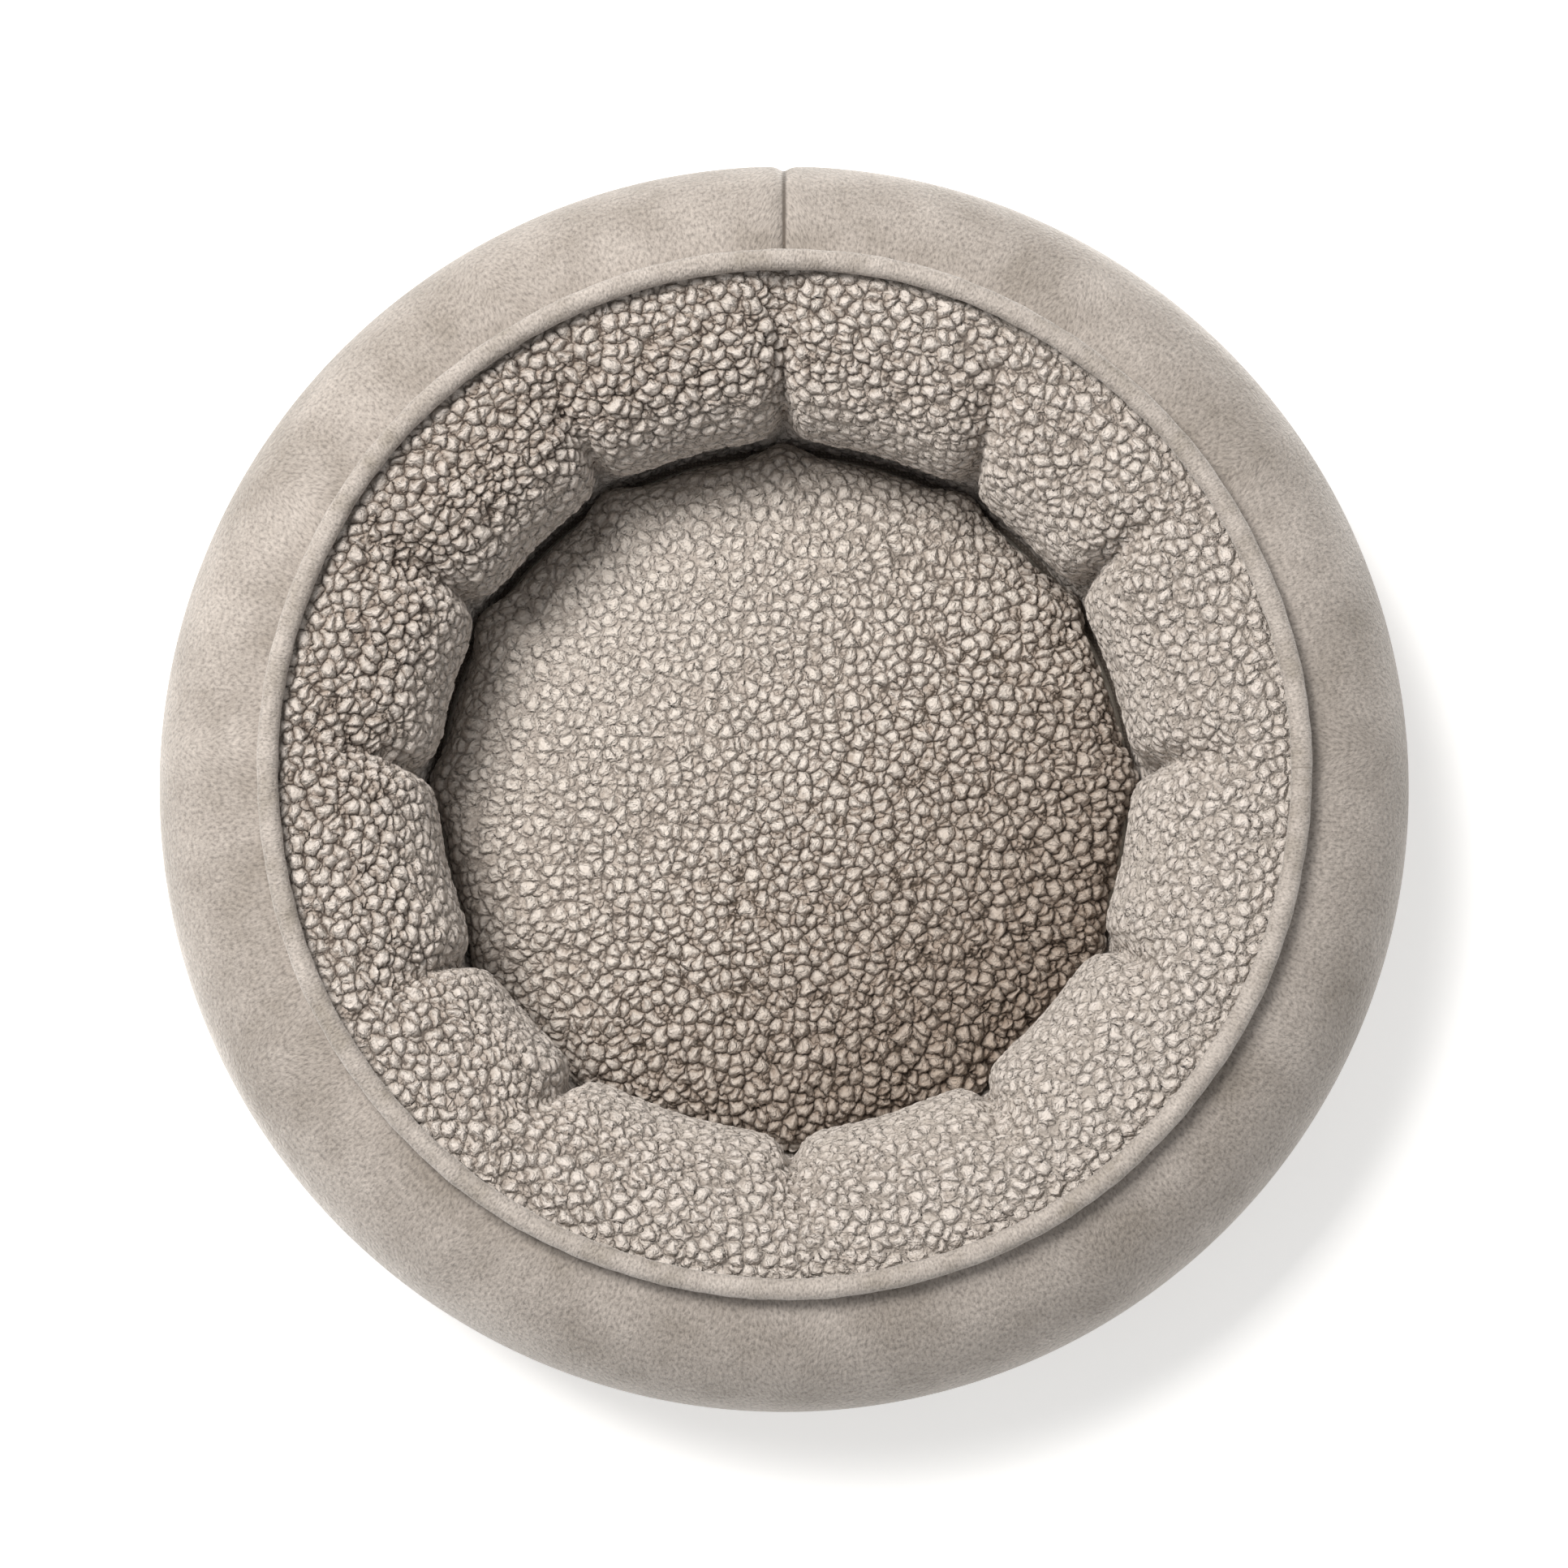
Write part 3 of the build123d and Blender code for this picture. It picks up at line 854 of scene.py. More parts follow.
@dataclass
class Bolster:
    """The ring of the bed: velvet outside, tucked sherpa inside, and the stuffing between."""

    section: Section
    columns: int = 360
    tuck_spread: float = 2.2  # degrees round a tuck in which the columns stand closer
    tuck_density: float = 1.6
    under_size: float = 2.5 * MM  # how much smaller the skin starts than it ends
    swell_cap: float = 5 * MM
    seam_dip: float = 6.5 * MM  # how far the piping's seam pulls the skin in
    seam_dip_width: float = 9 * MM
    crease_depth: float = 7.5 * MM
    crease_width: float = 4.5 * MM
    undercut: float = 7 * MM  # how far the wall falls back below the mouth
    mouth_back: float = 5 * MM  # what the swelling adds at the mouth, taken off beforehand
    closing_dip: float = 3.5 * MM
    closing_width: float = 2.0 * MM
    skin: Array = field(init=False)
    zones: Array = field(init=False)
    down: Array = field(init=False)

    def azimuths(self) -> Array:
        """Return the columns' azimuths in radians, closer together at the tucks."""
        fine = np.linspace(0, 360, 7201)[:-1]
        weight = np.ones_like(fine)
        for tuck in TUCKS:
            away = (fine - tuck.azimuth + 180) % 360 - 180
            weight += self.tuck_density * np.exp(-((away / self.tuck_spread) ** 2))
        total = np.cumsum(weight)
        steps = (np.arange(self.columns) + 0.5) / self.columns * total[-1]
        return np.radians(np.interp(steps, total, fine))

    def tuck_fields(self, azimuths: Array, angles: Array, radii: Array) -> tuple[Array, Array, Array]:
        """Work out how the tucks pull the lining in.

        Args:
            azimuths: one for each column, in radians.
            angles: one for each row, in degrees up the section.
            radii: one for each row, in metres.

        Returns:
            Rows and columns of the pillow's depth, of the crease's depth, and of how
            firmly the tuck holds the cloth.
        """
        order = sorted(TUCKS, key=lambda tuck: tuck.azimuth % 360)
        shape = (len(angles), len(azimuths))
        pillow, crease, hold = np.zeros(shape), np.zeros(shape), np.zeros(shape)
        degrees = np.degrees(azimuths)[None, :]
        level = angles[:, None]
        metres = radii[:, None] * math.pi / 180
        for index, tuck in enumerate(order):
            for other in (order[index - 1], order[(index + 1) % len(order)]):
                half = abs((other.azimuth - tuck.azimuth + 180) % 360 - 180) / 2
                side = np.sign((other.azimuth - tuck.azimuth + 180) % 360 - 180)
                bend = tuck.lean * (np.clip(level, 0, tuck.reach) / tuck.reach) ** 2
                away = ((degrees - tuck.azimuth - bend + 180) % 360 - 180) * side
                near = np.clip(1 - away / half, 0, 1)
                here = (away >= 0) & (away < half)
                up = 1 - fade(level, tuck.reach * 0.5, tuck.reach + 15)
                down = 1 - 0.75 * fade(-level, 10, 85)
                strength = tuck.depth * up * down
                pillow = np.where(here, np.maximum(pillow, strength * near**5), pillow)
            along = np.abs((degrees - tuck.azimuth - bend + 180) % 360 - 180) * metres
            width = self.crease_width + tuck.breadth * fade(level, tuck.reach * 0.3, tuck.reach)
            up = 1 - fade(level, tuck.reach * 0.8, tuck.reach + 16)
            valley = np.exp(-((along / width) ** 2)) * up * (1 - fade(-level, 30, 80))
            crease = np.maximum(crease, self.crease_depth * valley)
            hold = np.maximum(hold, np.where(along < 1.6 * MM, up * (level > -60), 0))
        return pillow, crease, hold

    def start_shape(self) -> tuple[Array, Array, Array]:
        """Shape the skin before it swells.

        Returns:
            The points, how firmly each is held, and the zone of each row.
        """
        rows, zones, angles = self.section.rows()
        azimuths = self.azimuths()
        pillow, crease, hold = self.tuck_fields(azimuths, angles, rows[:, 0])
        lining = (zones == Zone.LINING.value)[:, None]
        base = (zones == Zone.BASE.value)[:, None]
        pillow, crease, hold = pillow * lining, crease * lining, hold * lining

        seam_angle = 90 + math.degrees(self.section.lean)
        from_seam = np.abs(angles - seam_angle)[:, None] * math.pi / 180 * self.section.round
        seam = (self.seam_dip - 3.5 * MM * lining) * np.exp(-from_seam / self.seam_dip_width)
        back = np.abs(azimuths - math.pi / 2)[None, :] * rows[:, :1]
        cover = (zones == Zone.COVER.value)[:, None]
        closing = self.closing_dip * np.exp(-back / self.closing_width) * cover

        back_in = self.undercut * (fade(-angles, 4, 40) * (1 - fade(-angles, 70, 90)))[:, None] * lining
        back_in = back_in + self.mouth_back * np.exp(-((angles / 45) ** 2))[:, None] * lining
        inset = (self.under_size * ~base + pillow + crease + seam + closing + back_in)[..., None]
        flat = rows[:, None, :2] - inset * rows[:, None, 2:]
        points = spin(flat[..., 0], azimuths, np.maximum(flat[..., 1], self.section.panel))

        seam_hold = (from_seam < 2.5 * MM) * np.ones_like(hold)
        closing_hold = (back < 1.5 * MM) * cover
        foot = points[..., 2] < self.section.panel + 8 * MM
        wall = 0.9 * fade(-angles, 15, 40)[:, None] * lining * np.ones_like(hold)
        under = base * np.ones_like(hold)
        pins = np.maximum.reduce([hold, seam_hold, closing_hold * 1.0, foot * 1.0, wall, under])
        return points, pins, zones

    def swell(self) -> None:
        """Run the simulation on the closed skin and keep its points, zones and cloth lengths."""
        points, pins, self.zones = self.start_shape()
        skin = grid_mesh("bolster_skin", points, True, closes=True)
        moved = inflate(skin, pins.ravel(), self.swell_cap)
        bpy.data.objects.remove(skin)
        self.skin = moved.reshape(points.shape)
        self.skin[..., 2] = np.maximum(self.skin[..., 2], self.section.panel)
        steps = np.linalg.norm(np.diff(self.skin, axis=0, prepend=self.skin[:1]), axis=2)
        self.down = np.cumsum(steps, axis=0)

    def cloth_map(self, rows: Array) -> Array:
        """Return cloth coordinates in metres for some rows, with one column more to close the ring."""
        azimuths = np.append(self.azimuths(), self.azimuths()[0] + 2 * math.pi)
        down = np.concatenate([self.down, self.down[:, :1]], axis=1)[rows]
        around = np.broadcast_to((azimuths - math.pi / 2) * self.section.centre, down.shape)
        return np.stack([around, down], axis=-1)

    def cover(self) -> Piece:
        """Make the velvet cover from the seam at the piping down to the foot."""
        rows = np.nonzero(self.zones == Zone.COVER.value)[0]
        rows = np.append(rows[0] - 1, rows)
        piece = grid_mesh("velvet_cover", self.skin[rows], True, self.cloth_map(rows))
        smooth(piece, 2)
        baked(piece)
        Cloth.COVER.dress(piece)
        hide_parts("outer_cover")
        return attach(piece, "bolster")

    def lining(self, tree: Tree) -> Piece:
        """Make the sherpa lining, with its curls raised by the pile tree.

        Args:
            tree: the pile tree.

        Returns:
            The lining.
        """
        rows = np.nonzero(self.zones == Zone.LINING.value)[0]
        piece = grid_mesh("sherpa_lining", self.skin[rows], True)
        _, _, angles = self.section.rows()
        level = np.broadcast_to(angles[rows][:, None], self.skin[rows].shape[:2])
        crest = 90 + math.degrees(self.section.lean)
        edge = 0.35 + 0.65 * fade(crest - level, 0, 7)
        mouth = 0.42 + 0.58 * fade(level, 10, 58)
        # The pile stands higher round this azimuth, where the lining faces away from the lamp, and lower on
        # the side that faces it. Through the sherpa's colour this paints shade in the cracks and hollows on
        # the far side, besides raising the curls there.
        facing = 0.80 + 0.22 * np.cos(self.azimuths() - math.radians(145))
        set_float(piece, "pile", edge * mouth * facing)
        set_vector(piece, "comb", np.zeros((level.size, 3)))
        smooth(piece, 2)
        run_tree(piece, tree, {"Curl": 6.5 * MM, "Relief": 4.0 * MM, "Warp": 1.0, "Gap": 0.48, "Seed": 3.0})
        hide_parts("bolster_lining")
        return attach(piece, "bolster")

    def stuffing(self) -> Piece:
        """Make the fibre fill as the skin's own shape, shrunk to lie inside both cloths."""
        rows = self.skin[::2]
        middle = np.array([self.section.centre, self.section.middle])
        radius = np.hypot(rows[..., 0], rows[..., 1])
        away = np.stack([radius - middle[0], rows[..., 2] - middle[1]], axis=-1)
        shrink = 1 - 9 * MM / np.maximum(np.linalg.norm(away, axis=-1), 20 * MM)
        inner = middle + away * shrink[..., None]
        scale = inner[..., 0] / radius
        points = np.stack([rows[..., 0] * scale, rows[..., 1] * scale, inner[..., 1]], axis=-1)
        piece = grid_mesh("bolster_stuffing", points, True, closes=True)
        Cloth.FILL.dress(piece)
        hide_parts("bolster_fill")
        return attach(piece, "bolster")


# ---- Trims of the bolster -----------------------------------------------------------------


def line_object(name: str, points: Array, closed: bool) -> Piece:
    """Make an object of edges only, from one point to the next.

    Args:
        name: the object's name.
        points: the line's points.
        closed: True where the last joins the first.

    Returns:
        The new object.
    """
    count = len(points)
    edges = [(i, (i + 1) % count) for i in range(count if closed else count - 1)]
    mesh = bpy.data.meshes.new(name)
    mesh.from_pydata(points.tolist(), edges, [])
    return link_mesh(name, mesh)


def circle(radius: float, height: float, count: int = 360) -> Array:
    """Return points on a level circle round the bed's axis."""
    turn = np.linspace(0, 2 * math.pi, count, endpoint=False)
    return spin(np.full(count, radius), turn, height)


@dataclass
class Piping:
    """The round trim sewn into the seam between the cover and the lining."""

    section: Section
    around: int = 540
    facets: int = 18
    ripple: float = 0.12 * MM
    wander: float = 0.5 * MM
    flange_half: float = 1.3 * MM
    flange_drop: float = 8 * MM  # from the bead down between the two cloths

    def outline(self, radius: float) -> Array:
        """Return the sleeve's section, across the seam and along it: a round bead with a flange."""
        turn = np.radians(np.linspace(240, -60, self.facets))
        bead = np.stack([np.cos(turn), np.sin(turn)], axis=-1) * radius
        neck, foot = -radius - 0.12 * self.flange_drop, -radius - self.flange_drop
        half = self.flange_half
        return np.concatenate([bead, np.array([(half, neck), (half, foot), (-half, foot), (-half, neck)])])

    def ring(self) -> Piece:
        """Make the velvet sleeve as a slightly uneven ring, with its flange down in the seam."""
        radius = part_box("piping_sleeve")[1][0] - self.section.seam_r
        turn = np.linspace(0, 2 * math.pi, self.around, endpoint=False)[None, :]
        outline = self.outline(radius)
        swell = 1 + self.ripple / radius * (np.sin(97 * turn + 2 * np.sin(7 * turn)) + np.sin(41 * turn))
        wave = self.wander * (np.sin(5 * turn + 1) * 0.6 + np.sin(11 * turn) * 0.4)
        lean = self.section.lean
        flat = outline[:, :1] * math.cos(lean) + outline[:, 1:] * math.sin(lean)
        rise = outline[:, 1:] * math.cos(lean) - outline[:, :1] * math.sin(lean)
        flat = self.section.seam_r + wave + flat * swell
        height = self.section.piping_z + rise * swell
        points = spin(flat, turn, height)
        sides = np.linalg.norm(np.diff(outline, axis=0, append=outline[:1]), axis=1)
        across = np.append(0.0, np.cumsum(sides))
        along = np.linspace(0, 2 * math.pi * self.section.seam_r, self.around + 1)
        uv = np.stack(np.meshgrid(along, across), axis=-1)
        piece = grid_mesh("piping_ring", points, True, uv, closes=True)
        smooth(piece, 1)
        baked(piece)
        Cloth.PIPING.dress(piece)
        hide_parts("piping_sleeve")
        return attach(piece, "bolster")


@dataclass
class Threads:
    """Every visible thread of the bed, laid along its seam by the stitch tree."""

    bolster: Bolster
    tree: Tree
    tack_span: float = 9 * MM

    def back_line(self, zone: Zone, sink: float) -> Array:
        """Return the skin's points along the closing seam of one cloth, sunk into it."""
        skin = self.bolster.skin[self.bolster.zones == zone.value]
        column = int(np.argmin(np.abs(self.bolster.azimuths() - math.pi / 2)))
        line = skin[:, column].copy()
        line[:, 0] = 0
        middle = np.array([0, self.bolster.section.centre, self.bolster.section.middle])
        away = line - middle
        return line - away / np.linalg.norm(away, axis=1, keepdims=True) * sink

    def sew(self, name: str, points: Array, closed: bool, body: str, node: str, sizes: Sizes) -> None:
        """Sew one seam and hide the solid that it stands for.

        Args:
            name: the piece's name.
            points: the seam's line.
            closed: True for a ring.
            body: the body that it rides on.
            node: the solid that it replaces.
            sizes: the stitch tree's inputs.
        """
        piece = run_tree(line_object(name, points, closed), self.tree, sizes)
        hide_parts(node)
        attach(piece, body)
        log.info("%s: %d faces", name, len(piece.data.polygons))

    def tacks(self) -> None:
        """Make the twelve hand tacks, each two short threads across the foot of a tuck."""
        azimuths = self.bolster.azimuths()
        _, _, angles = self.bolster.section.rows()
        row = int(np.argmin(np.abs(angles)))
        vertices, edges = [], []
        for tuck in TUCKS:
            away = (azimuths - math.radians(tuck.azimuth) + math.pi) % (2 * math.pi) - math.pi
            column = int(np.argmin(np.abs(away)))
            spot = Vector(self.bolster.skin[row, column])
            out = Vector((spot.x, spot.y, 0)).normalized()
            side = Vector((-out.y, out.x, 0))
            for lift in (-1.2 * MM, 1.2 * MM):
                centre = spot - out * 0.6 * MM + Vector((0, 0, lift))
                edges.append((len(vertices), len(vertices) + 1))
                vertices += [centre - side * self.tack_span / 2, centre + side * self.tack_span / 2]
        mesh = bpy.data.meshes.new("tack_threads")
        mesh.from_pydata([tuple(v) for v in vertices], edges, [])
        piece = link_mesh("tack_threads", mesh)
        sizes = {"Pitch": self.tack_span / 3, "Length": self.tack_span / 2.4, "Thread": 0.7 * MM}
        run_tree(piece, self.tree, sizes)
        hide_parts("tuck_tacks")
        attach(piece, "bolster")

    def build(self) -> None:
        """Sew the closing seams, the tacks and the ring seam of the well."""
        seam = self.back_line(Zone.COVER, -0.15 * MM)
        self.sew("cover_stitches", seam[1:], False, "bolster", "cover_seam_thread",
                 {"Pitch": 2.35 * MM, "Length": 1.7 * MM, "Thread": 0.8 * MM})
        inner = self.back_line(Zone.LINING, 1.0 * MM)
        upper = inner[-12:-2]
        self.sew("lining_stitches", upper, False, "bolster", "lining_seam_thread",
                 {"Pitch": 3 * MM, "Length": 2.2 * MM, "Thread": 0.6 * MM})
        self.tacks()
        low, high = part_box("well_seam_thread")
        ring = circle(high[0] - (high[2] - low[2]) / 2, (high[2] + low[2]) / 2)
        self.sew("well_stitches", ring, True, "bolster", "well_seam_thread",
                 {"Pitch": 3 * MM, "Length": 2.3 * MM, "Thread": 0.8 * MM})


@dataclass
class Base:
    """The underside of the bed and the floor of the well."""

    dot_pitch: float = 15 * MM
    dot_rise: float = 0.6 * MM
    rings: int = 24
    around: int = 180

    def disc(self, name: str, radius: float, low: float, high: float, pucker: float) -> Piece:
        """Make one round sheet with a thickness and a slightly puckered edge.

        Args:
            name: the piece's name.
            radius: its radius.
            low: its under side.
            high: its upper side.
            pucker: how far the edge ripples.

        Returns:
            The sheet.
        """
        turn = np.linspace(0, 2 * math.pi, self.around, endpoint=False)[None, :]
        share = np.linspace(1 * MM / radius, 1, self.rings)[:, None]
        flat = radius * share
        ripple = pucker * np.maximum(share - 0.85, 0) / 0.15 * np.sin(60 * turn)
        top = spin(flat, turn, high - np.abs(ripple))
        under = spin(flat, turn, low)
        loop = np.concatenate([top, under[::-1]])
        piece = grid_mesh(name, loop[::-1], True)
        mesh = piece.data
        last = (2 * self.rings - 1) * self.around
        bottom = list(range(self.around))
        upper = list(range(last, last + self.around))
        faces = [tuple(p.vertices) for p in mesh.polygons] + [tuple(bottom[::-1]), tuple(upper)]
        closed = bpy.data.meshes.new(name)
        closed.from_pydata([tuple(v.co) for v in mesh.vertices], [], faces)
        piece.data = closed
        return piece

    def build(self) -> None:
        """Make the base panel with its grip dots, and the well's floor cloth."""
        low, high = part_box("base_panel")
        panel = self.disc("grip_base", high[0], low[2] + self.dot_rise, high[2], 0.0)
        Cloth.BASE.dress(panel)
        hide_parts("base_panel")
        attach(panel, "bolster")
        dots = self.dots(high[0] - 8 * MM, low[2] + self.dot_rise)
        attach(dots, "bolster")

        low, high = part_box("well_floor")
        radius = high[0] - 2 * MM
        floor = self.disc("well_cloth", radius, low[2], high[2], 0.4 * MM)
        Cloth.FLOOR.dress(floor)
        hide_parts("well_floor")
        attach(floor, "bolster")

    def dots(self, reach: float, height: float) -> Piece:
        """Print the grip dots in a staggered pattern under the base.

        Args:
            reach: the furthest that a dot may lie from the middle.
            height: the cloth's under side, on which the dots' middles lie.

        Returns:
            The dots, as one piece.
        """
        count = int(reach / self.dot_pitch) + 2
        spots = []
        for i in range(-count, count + 1):
            for j in range(-count, count + 1):
                x = (i + 0.5 * (j % 2)) * self.dot_pitch
                y = j * self.dot_pitch * math.sqrt(3) / 2
                if math.hypot(x, y) < reach:
                    spots.append((x, y, height))
        mesh = bpy.data.meshes.new("grip_dots")
        mesh.from_pydata(spots, [], [])
        piece = link_mesh("grip_dots", mesh)
        run_tree(piece, dot_tree(Cloth.DOTS.material()), {"Across": 4 * MM, "Rise": 2 * self.dot_rise})
        return piece


# ---- The floor cushion --------------------------------------------------------------------


@dataclass
class FloorCushion:
    """The loose round cushion in the well: sherpa above, velvet below, stuffing between."""

    side: int = 96  # faces along one edge of the square that is rounded to a disc
    under_size: float = 3 * MM
    swell_cap: float = 9 * MM
    shoulder: float = 40 * MM  # height of the upper side where it starts to turn down
    seam_height: float = 17 * MM  # the rim's seam, where the cushion is widest
    spread: float = 11 * MM  # how far the soft rim spreads under the bolster's overhang
    tuck_fill: float = 7.5 * MM  # how far the rim fills each tuck of the wall
    tuck_width: float = 4.5  # degrees

    def disc(self) -> tuple[Array, Array]:
        """Return the square grid rounded to a unit disc, and each point's share of the radius."""
        line = np.linspace(-1, 1, self.side + 1)
        x, y = np.meshgrid(line, line)
        round_x = x * np.sqrt(1 - y * y / 2)
        round_y = y * np.sqrt(1 - x * x / 2)
        return np.stack([round_x, round_y], axis=-1), np.clip(np.hypot(round_x, round_y), 0, 1)

    def into_tucks(self, flat: Array, share: Array) -> Array:
        """Return how much further out each point of the disc lies where the rim fills a tuck."""
        azimuths = np.degrees(np.arctan2(flat[..., 1], flat[..., 0]))
        fill = np.zeros_like(share)
        for tuck in TUCKS:
            away = (azimuths - tuck.azimuth + 180) % 360 - 180
            fill = np.maximum(fill, self.tuck_fill * np.exp(-((away / self.tuck_width) ** 2)))
        return fill * share**8

    def shape(self) -> tuple[Array, list[tuple[int, ...]], Array]:
        """Shape the closed cushion before it swells.

        Returns:
            The points, the faces, and how firmly each point is held.
        """
        low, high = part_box("cushion_base")
        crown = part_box("cushion_top")[1][2]
        flat, share = self.disc()
        radius = high[0] + self.spread + self.into_tucks(flat, share)
        under = low[2] + 0.2 * MM
        side = (self.shoulder - self.seam_height) * (1 - share**11) ** 0.5
        dome = (crown - self.under_size - self.shoulder) * (1 - share**2.2)
        top = self.seam_height + side + dome
        bottom = self.seam_height - (self.seam_height - under) * np.clip((1 - share**9) * 1.02, 0, 1) ** 0.5
        count = share.size
        plan = (flat * radius[..., None]).reshape(-1, 2)
        upper = np.concatenate([plan, top.reshape(-1, 1)], axis=1)
        lower = np.concatenate([plan, bottom.reshape(-1, 1)], axis=1)
        columns = self.side + 1
        rim = np.zeros((columns, columns), dtype=bool)
        rim[0], rim[-1], rim[:, 0], rim[:, -1] = True, True, True, True
        rim = rim.ravel()
        index = np.arange(count)
        below = np.where(rim, index, 0)
        below[~rim] = count + np.arange(np.count_nonzero(~rim))
        points = np.concatenate([upper, lower[~rim]])
        faces = []
        for i in range(self.side):
            for j in range(self.side):
                a = i * columns + j
                face = (a, a + 1, a + columns + 1, a + columns)
                faces.append(face)
                faces.append(tuple(int(below[v]) for v in reversed(face)))
        pins = np.zeros(len(points))
        pins[:count][rim] = 1
        pins[count:] = 1
        return points, faces, pins

    def part(self, name: str, points: Array, faces: list[tuple[int, ...]]) -> Piece:
        """Make a piece from some of the skin's faces, with only the points that they use."""
        used = np.unique(np.array(faces))
        place = {int(old): new for new, old in enumerate(used)}
        mesh = bpy.data.meshes.new(name)
        mesh.from_pydata(points[used].tolist(), [], [tuple(place[v] for v in face) for face in faces])
        return link_mesh(name, mesh)

    def build(self, tree: Tree) -> Array:
        """Make the cushion's sherpa, underside and stuffing.

        Args:
            tree: the pile tree.

        Returns:
            The points of the rim, in order, for its seam.
        """
        points, faces, pins = self.shape()
        skin = self.part("cushion_skin", points, faces)
        points = inflate(skin, pins, self.swell_cap)
        points[:, 2] = np.maximum(points[:, 2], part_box("cushion_base")[0][2] + 0.1 * MM)
        bpy.data.objects.remove(skin)

        top = self.part("cushion_sherpa", points, faces[0::2])
        spots = coordinates(top.data)
        share = np.hypot(spots[:, 0], spots[:, 1]) / np.hypot(spots[:, 0], spots[:, 1]).max()
        # The pile rises towards the lower right, the side away from the lamp, and the sherpa's colour turns
        # this into painted shade there. The curls also stand higher there, and the pile is lower at the very
        # rim.
        shaded = (spots[:, 0] - spots[:, 1]) / np.hypot(spots[:, 0], spots[:, 1]).max() / math.sqrt(2)
        set_float(top, "pile", (1 - 0.45 * fade(share, 0.97, 1.0)) * (0.88 + 0.62 * shaded))
        outwards = spots * (np.array([1, 1, 0]) * (0.06 * fade(share, 0.6, 1.0))[:, None])
        set_vector(top, "comb", -outwards)
        smooth(top, 2)
        run_tree(top, tree, {"Curl": 6.2 * MM, "Relief": 3.0 * MM, "Warp": 0.85, "Gap": 0.40, "Seed": 7.0})
        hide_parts("cushion_top")
        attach(top, "floor_cushion")

        under = self.part("cushion_underside", points, faces[1::2])
        spread = coordinates(under.data)
        layer = under.data.uv_layers.new(name="cloth")
        corners = np.empty(len(under.data.loops), dtype=np.int32)
        under.data.loops.foreach_get("vertex_index", corners)
        layer.data.foreach_set("uv", spread[corners, :2].astype(np.float32).ravel())
        smooth(under, 1)
        baked(under)
        Cloth.UNDERSIDE.dress(under)
        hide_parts("cushion_base")
        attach(under, "floor_cushion")

        middle = np.array([0, 0, self.seam_height])
        scale = np.array([0.955, 0.955, 0.80])
        inner = self.part("cushion_stuffing", middle + (points - middle) * scale, faces)
        Cloth.FILL.dress(inner)
        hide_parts("cushion_fill")
        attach(inner, "floor_cushion")

        columns = self.side + 1
        grid = points[: columns * columns].reshape(columns, columns, 3)
        return np.concatenate([grid[0, :-1], grid[:-1, -1], grid[-1, :0:-1], grid[:0:-1, 0]])


# ---- Pieces that keep their solid ---------------------------------------------------------


def dress_node(name: str, cloth: Cloth) -> None:
    """Give a solid that is carried over a finish of its own."""
    piece = bpy.data.objects[name]
    cloth.dress(piece)


# ---- Studio -------------------------------------------------------------------------------


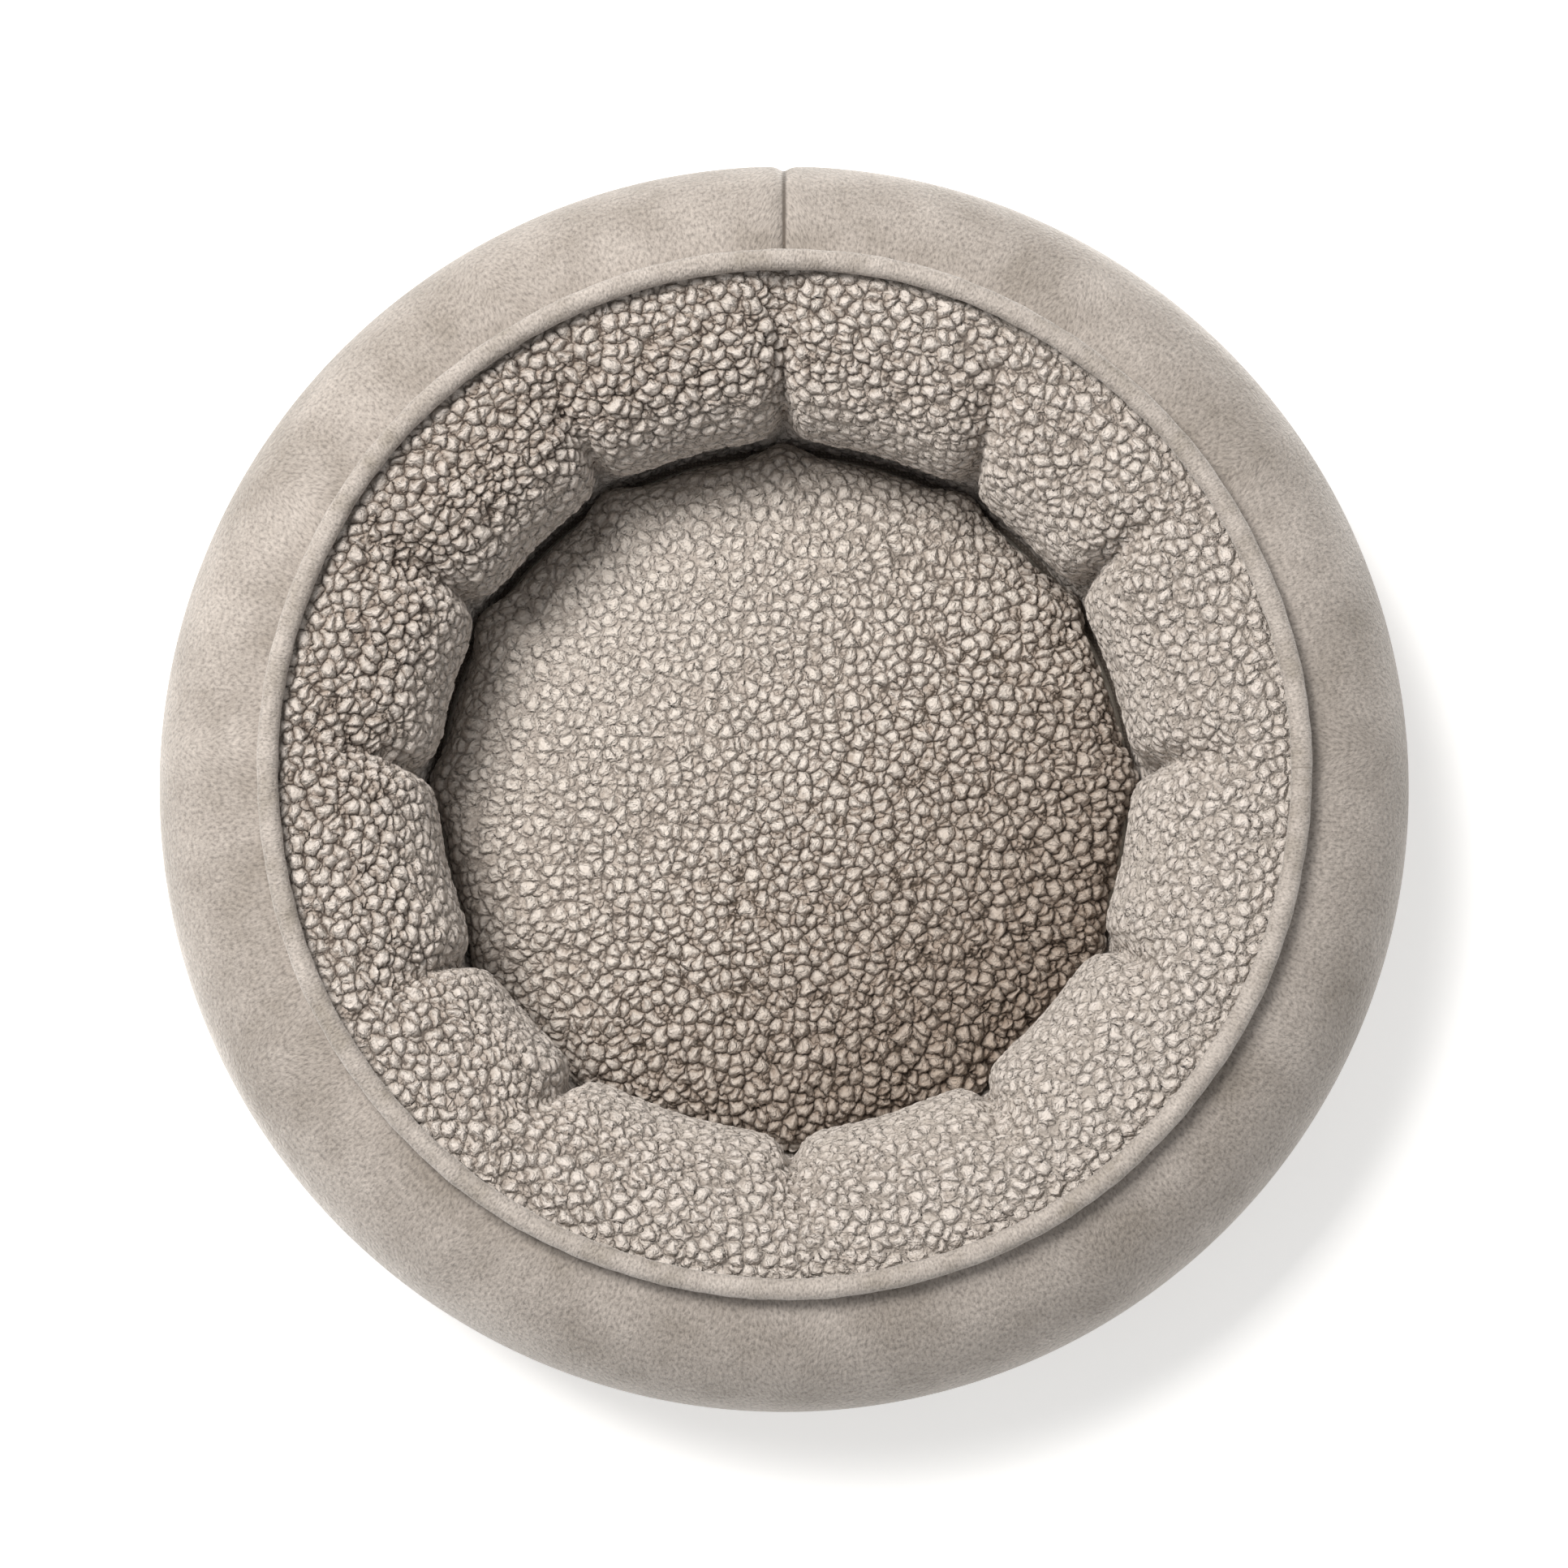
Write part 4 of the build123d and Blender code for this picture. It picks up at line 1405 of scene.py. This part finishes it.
@dataclass
class Studio:
    """A white floor, soft light from the upper left, and the camera."""

    target: Place = (0.0, 0.0, 0.075)
    elevation: float = 84.9
    distance: float = 2.2
    lens: float = 105.7
    key_energy: float = 97.0
    sky: float = 0.44

    def floor(self) -> None:
        """Lay the plain white floor that the bed stands on."""
        mesh = bpy.data.meshes.new("studio_floor")
        mesh.from_pydata([(-4, -4, 0), (4, -4, 0), (4, 4, 0), (-4, 4, 0)], [], [(0, 1, 2, 3)])
        piece = bpy.data.objects.new("studio_floor", mesh)
        bpy.context.scene.collection.objects.link(piece)
        material = bpy.data.materials.new("white studio floor")
        material.use_nodes = True
        shader = material.node_tree.nodes["Principled BSDF"]
        shader.inputs["Base Color"].default_value = (0.93, 0.93, 0.928, 1.0)
        shader.inputs["Roughness"].default_value = 0.9
        shader.inputs["Emission Color"].default_value = (1.0, 1.0, 0.99, 1.0)
        shader.inputs["Emission Strength"].default_value = 0.39
        shader.inputs["Specular IOR Level"].default_value = 0.1
        mesh.materials.append(material)
        piece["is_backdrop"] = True

    def lamp(self, name: str, place: Place, energy: float, size: float, tint: str) -> None:
        """Hang one square soft lamp that looks at the bed.

        Args:
            name: the lamp's name.
            place: where it hangs.
            energy: its power in watts.
            size: its width in metres.
            tint: sRGB hex colour.
        """
        light = bpy.data.lights.new(name, "AREA")
        light.energy = energy
        light.size = size
        light.color = linear(tint)[:3]
        holder = bpy.data.objects.new(name, light)
        holder.location = place
        aim = Vector(self.target) - Vector(place)
        holder.rotation_euler = aim.to_track_quat("-Z", "Y").to_euler()
        bpy.context.scene.collection.objects.link(holder)

    def build(self) -> None:
        """Set the floor, the world, the lamps and the camera."""
        scene = bpy.context.scene
        self.floor()
        world = bpy.data.worlds.new("white room")
        world.use_nodes = True
        world.node_tree.nodes["Background"].inputs["Color"].default_value = (1.0, 0.998, 0.995, 1.0)
        world.node_tree.nodes["Background"].inputs["Strength"].default_value = self.sky
        scene.world = world
        self.lamp("key_light", (-1.05, 1.0, 2.6), self.key_energy, 1.2, "fffcf8")
        scene.view_settings.view_transform = "Standard"

        camera = bpy.data.cameras.new("camera")
        camera.lens = self.lens
        camera.sensor_width = 36
        holder = bpy.data.objects.new("camera", camera)
        tilt = math.radians(self.elevation)
        target = Vector(self.target)
        holder.location = target + Vector((0, -math.cos(tilt), math.sin(tilt))) * self.distance
        holder.rotation_euler = (target - holder.location).to_track_quat("-Z", "Y").to_euler()
        scene.collection.objects.link(holder)
        scene.camera = holder


def main() -> None:
    """Build the bed from the floor up, then the studio."""
    logging.basicConfig(level=logging.INFO, format="%(message)s")
    section = Section()
    bolster = Bolster(section)
    bolster.swell()
    log.info("bolster skin: %d points", bolster.skin.shape[0] * bolster.skin.shape[1])
    bolster.cover()
    lining_pile = pile_tree(Cloth.LINING.material())
    bolster.lining(lining_pile)
    bolster.stuffing()
    Piping(section).ring()
    threads = Threads(bolster, stitch_tree(Cloth.THREAD.material()))
    threads.build()
    Base().build()
    rim = FloorCushion().build(pile_tree(Cloth.CUSHION.material()))
    threads.sew("cushion_stitches", rim, True, "floor_cushion", "cushion_seam_thread",
                {"Pitch": 4 * MM, "Length": 2.6 * MM, "Thread": 0.6 * MM})
    for name, cloth in (
        ("piping_cord", Cloth.CORD),
        ("piping_seam_thread", Cloth.THREAD),
        ("base_seam_thread", Cloth.THREAD),
        ("base_wadding", Cloth.FELT),
    ):
        dress_node(name, cloth)
    Studio().build()
    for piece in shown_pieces():
        log.info("%s: %d faces", piece.name, len(piece.data.polygons))


if __name__ == "__main__":
    main()
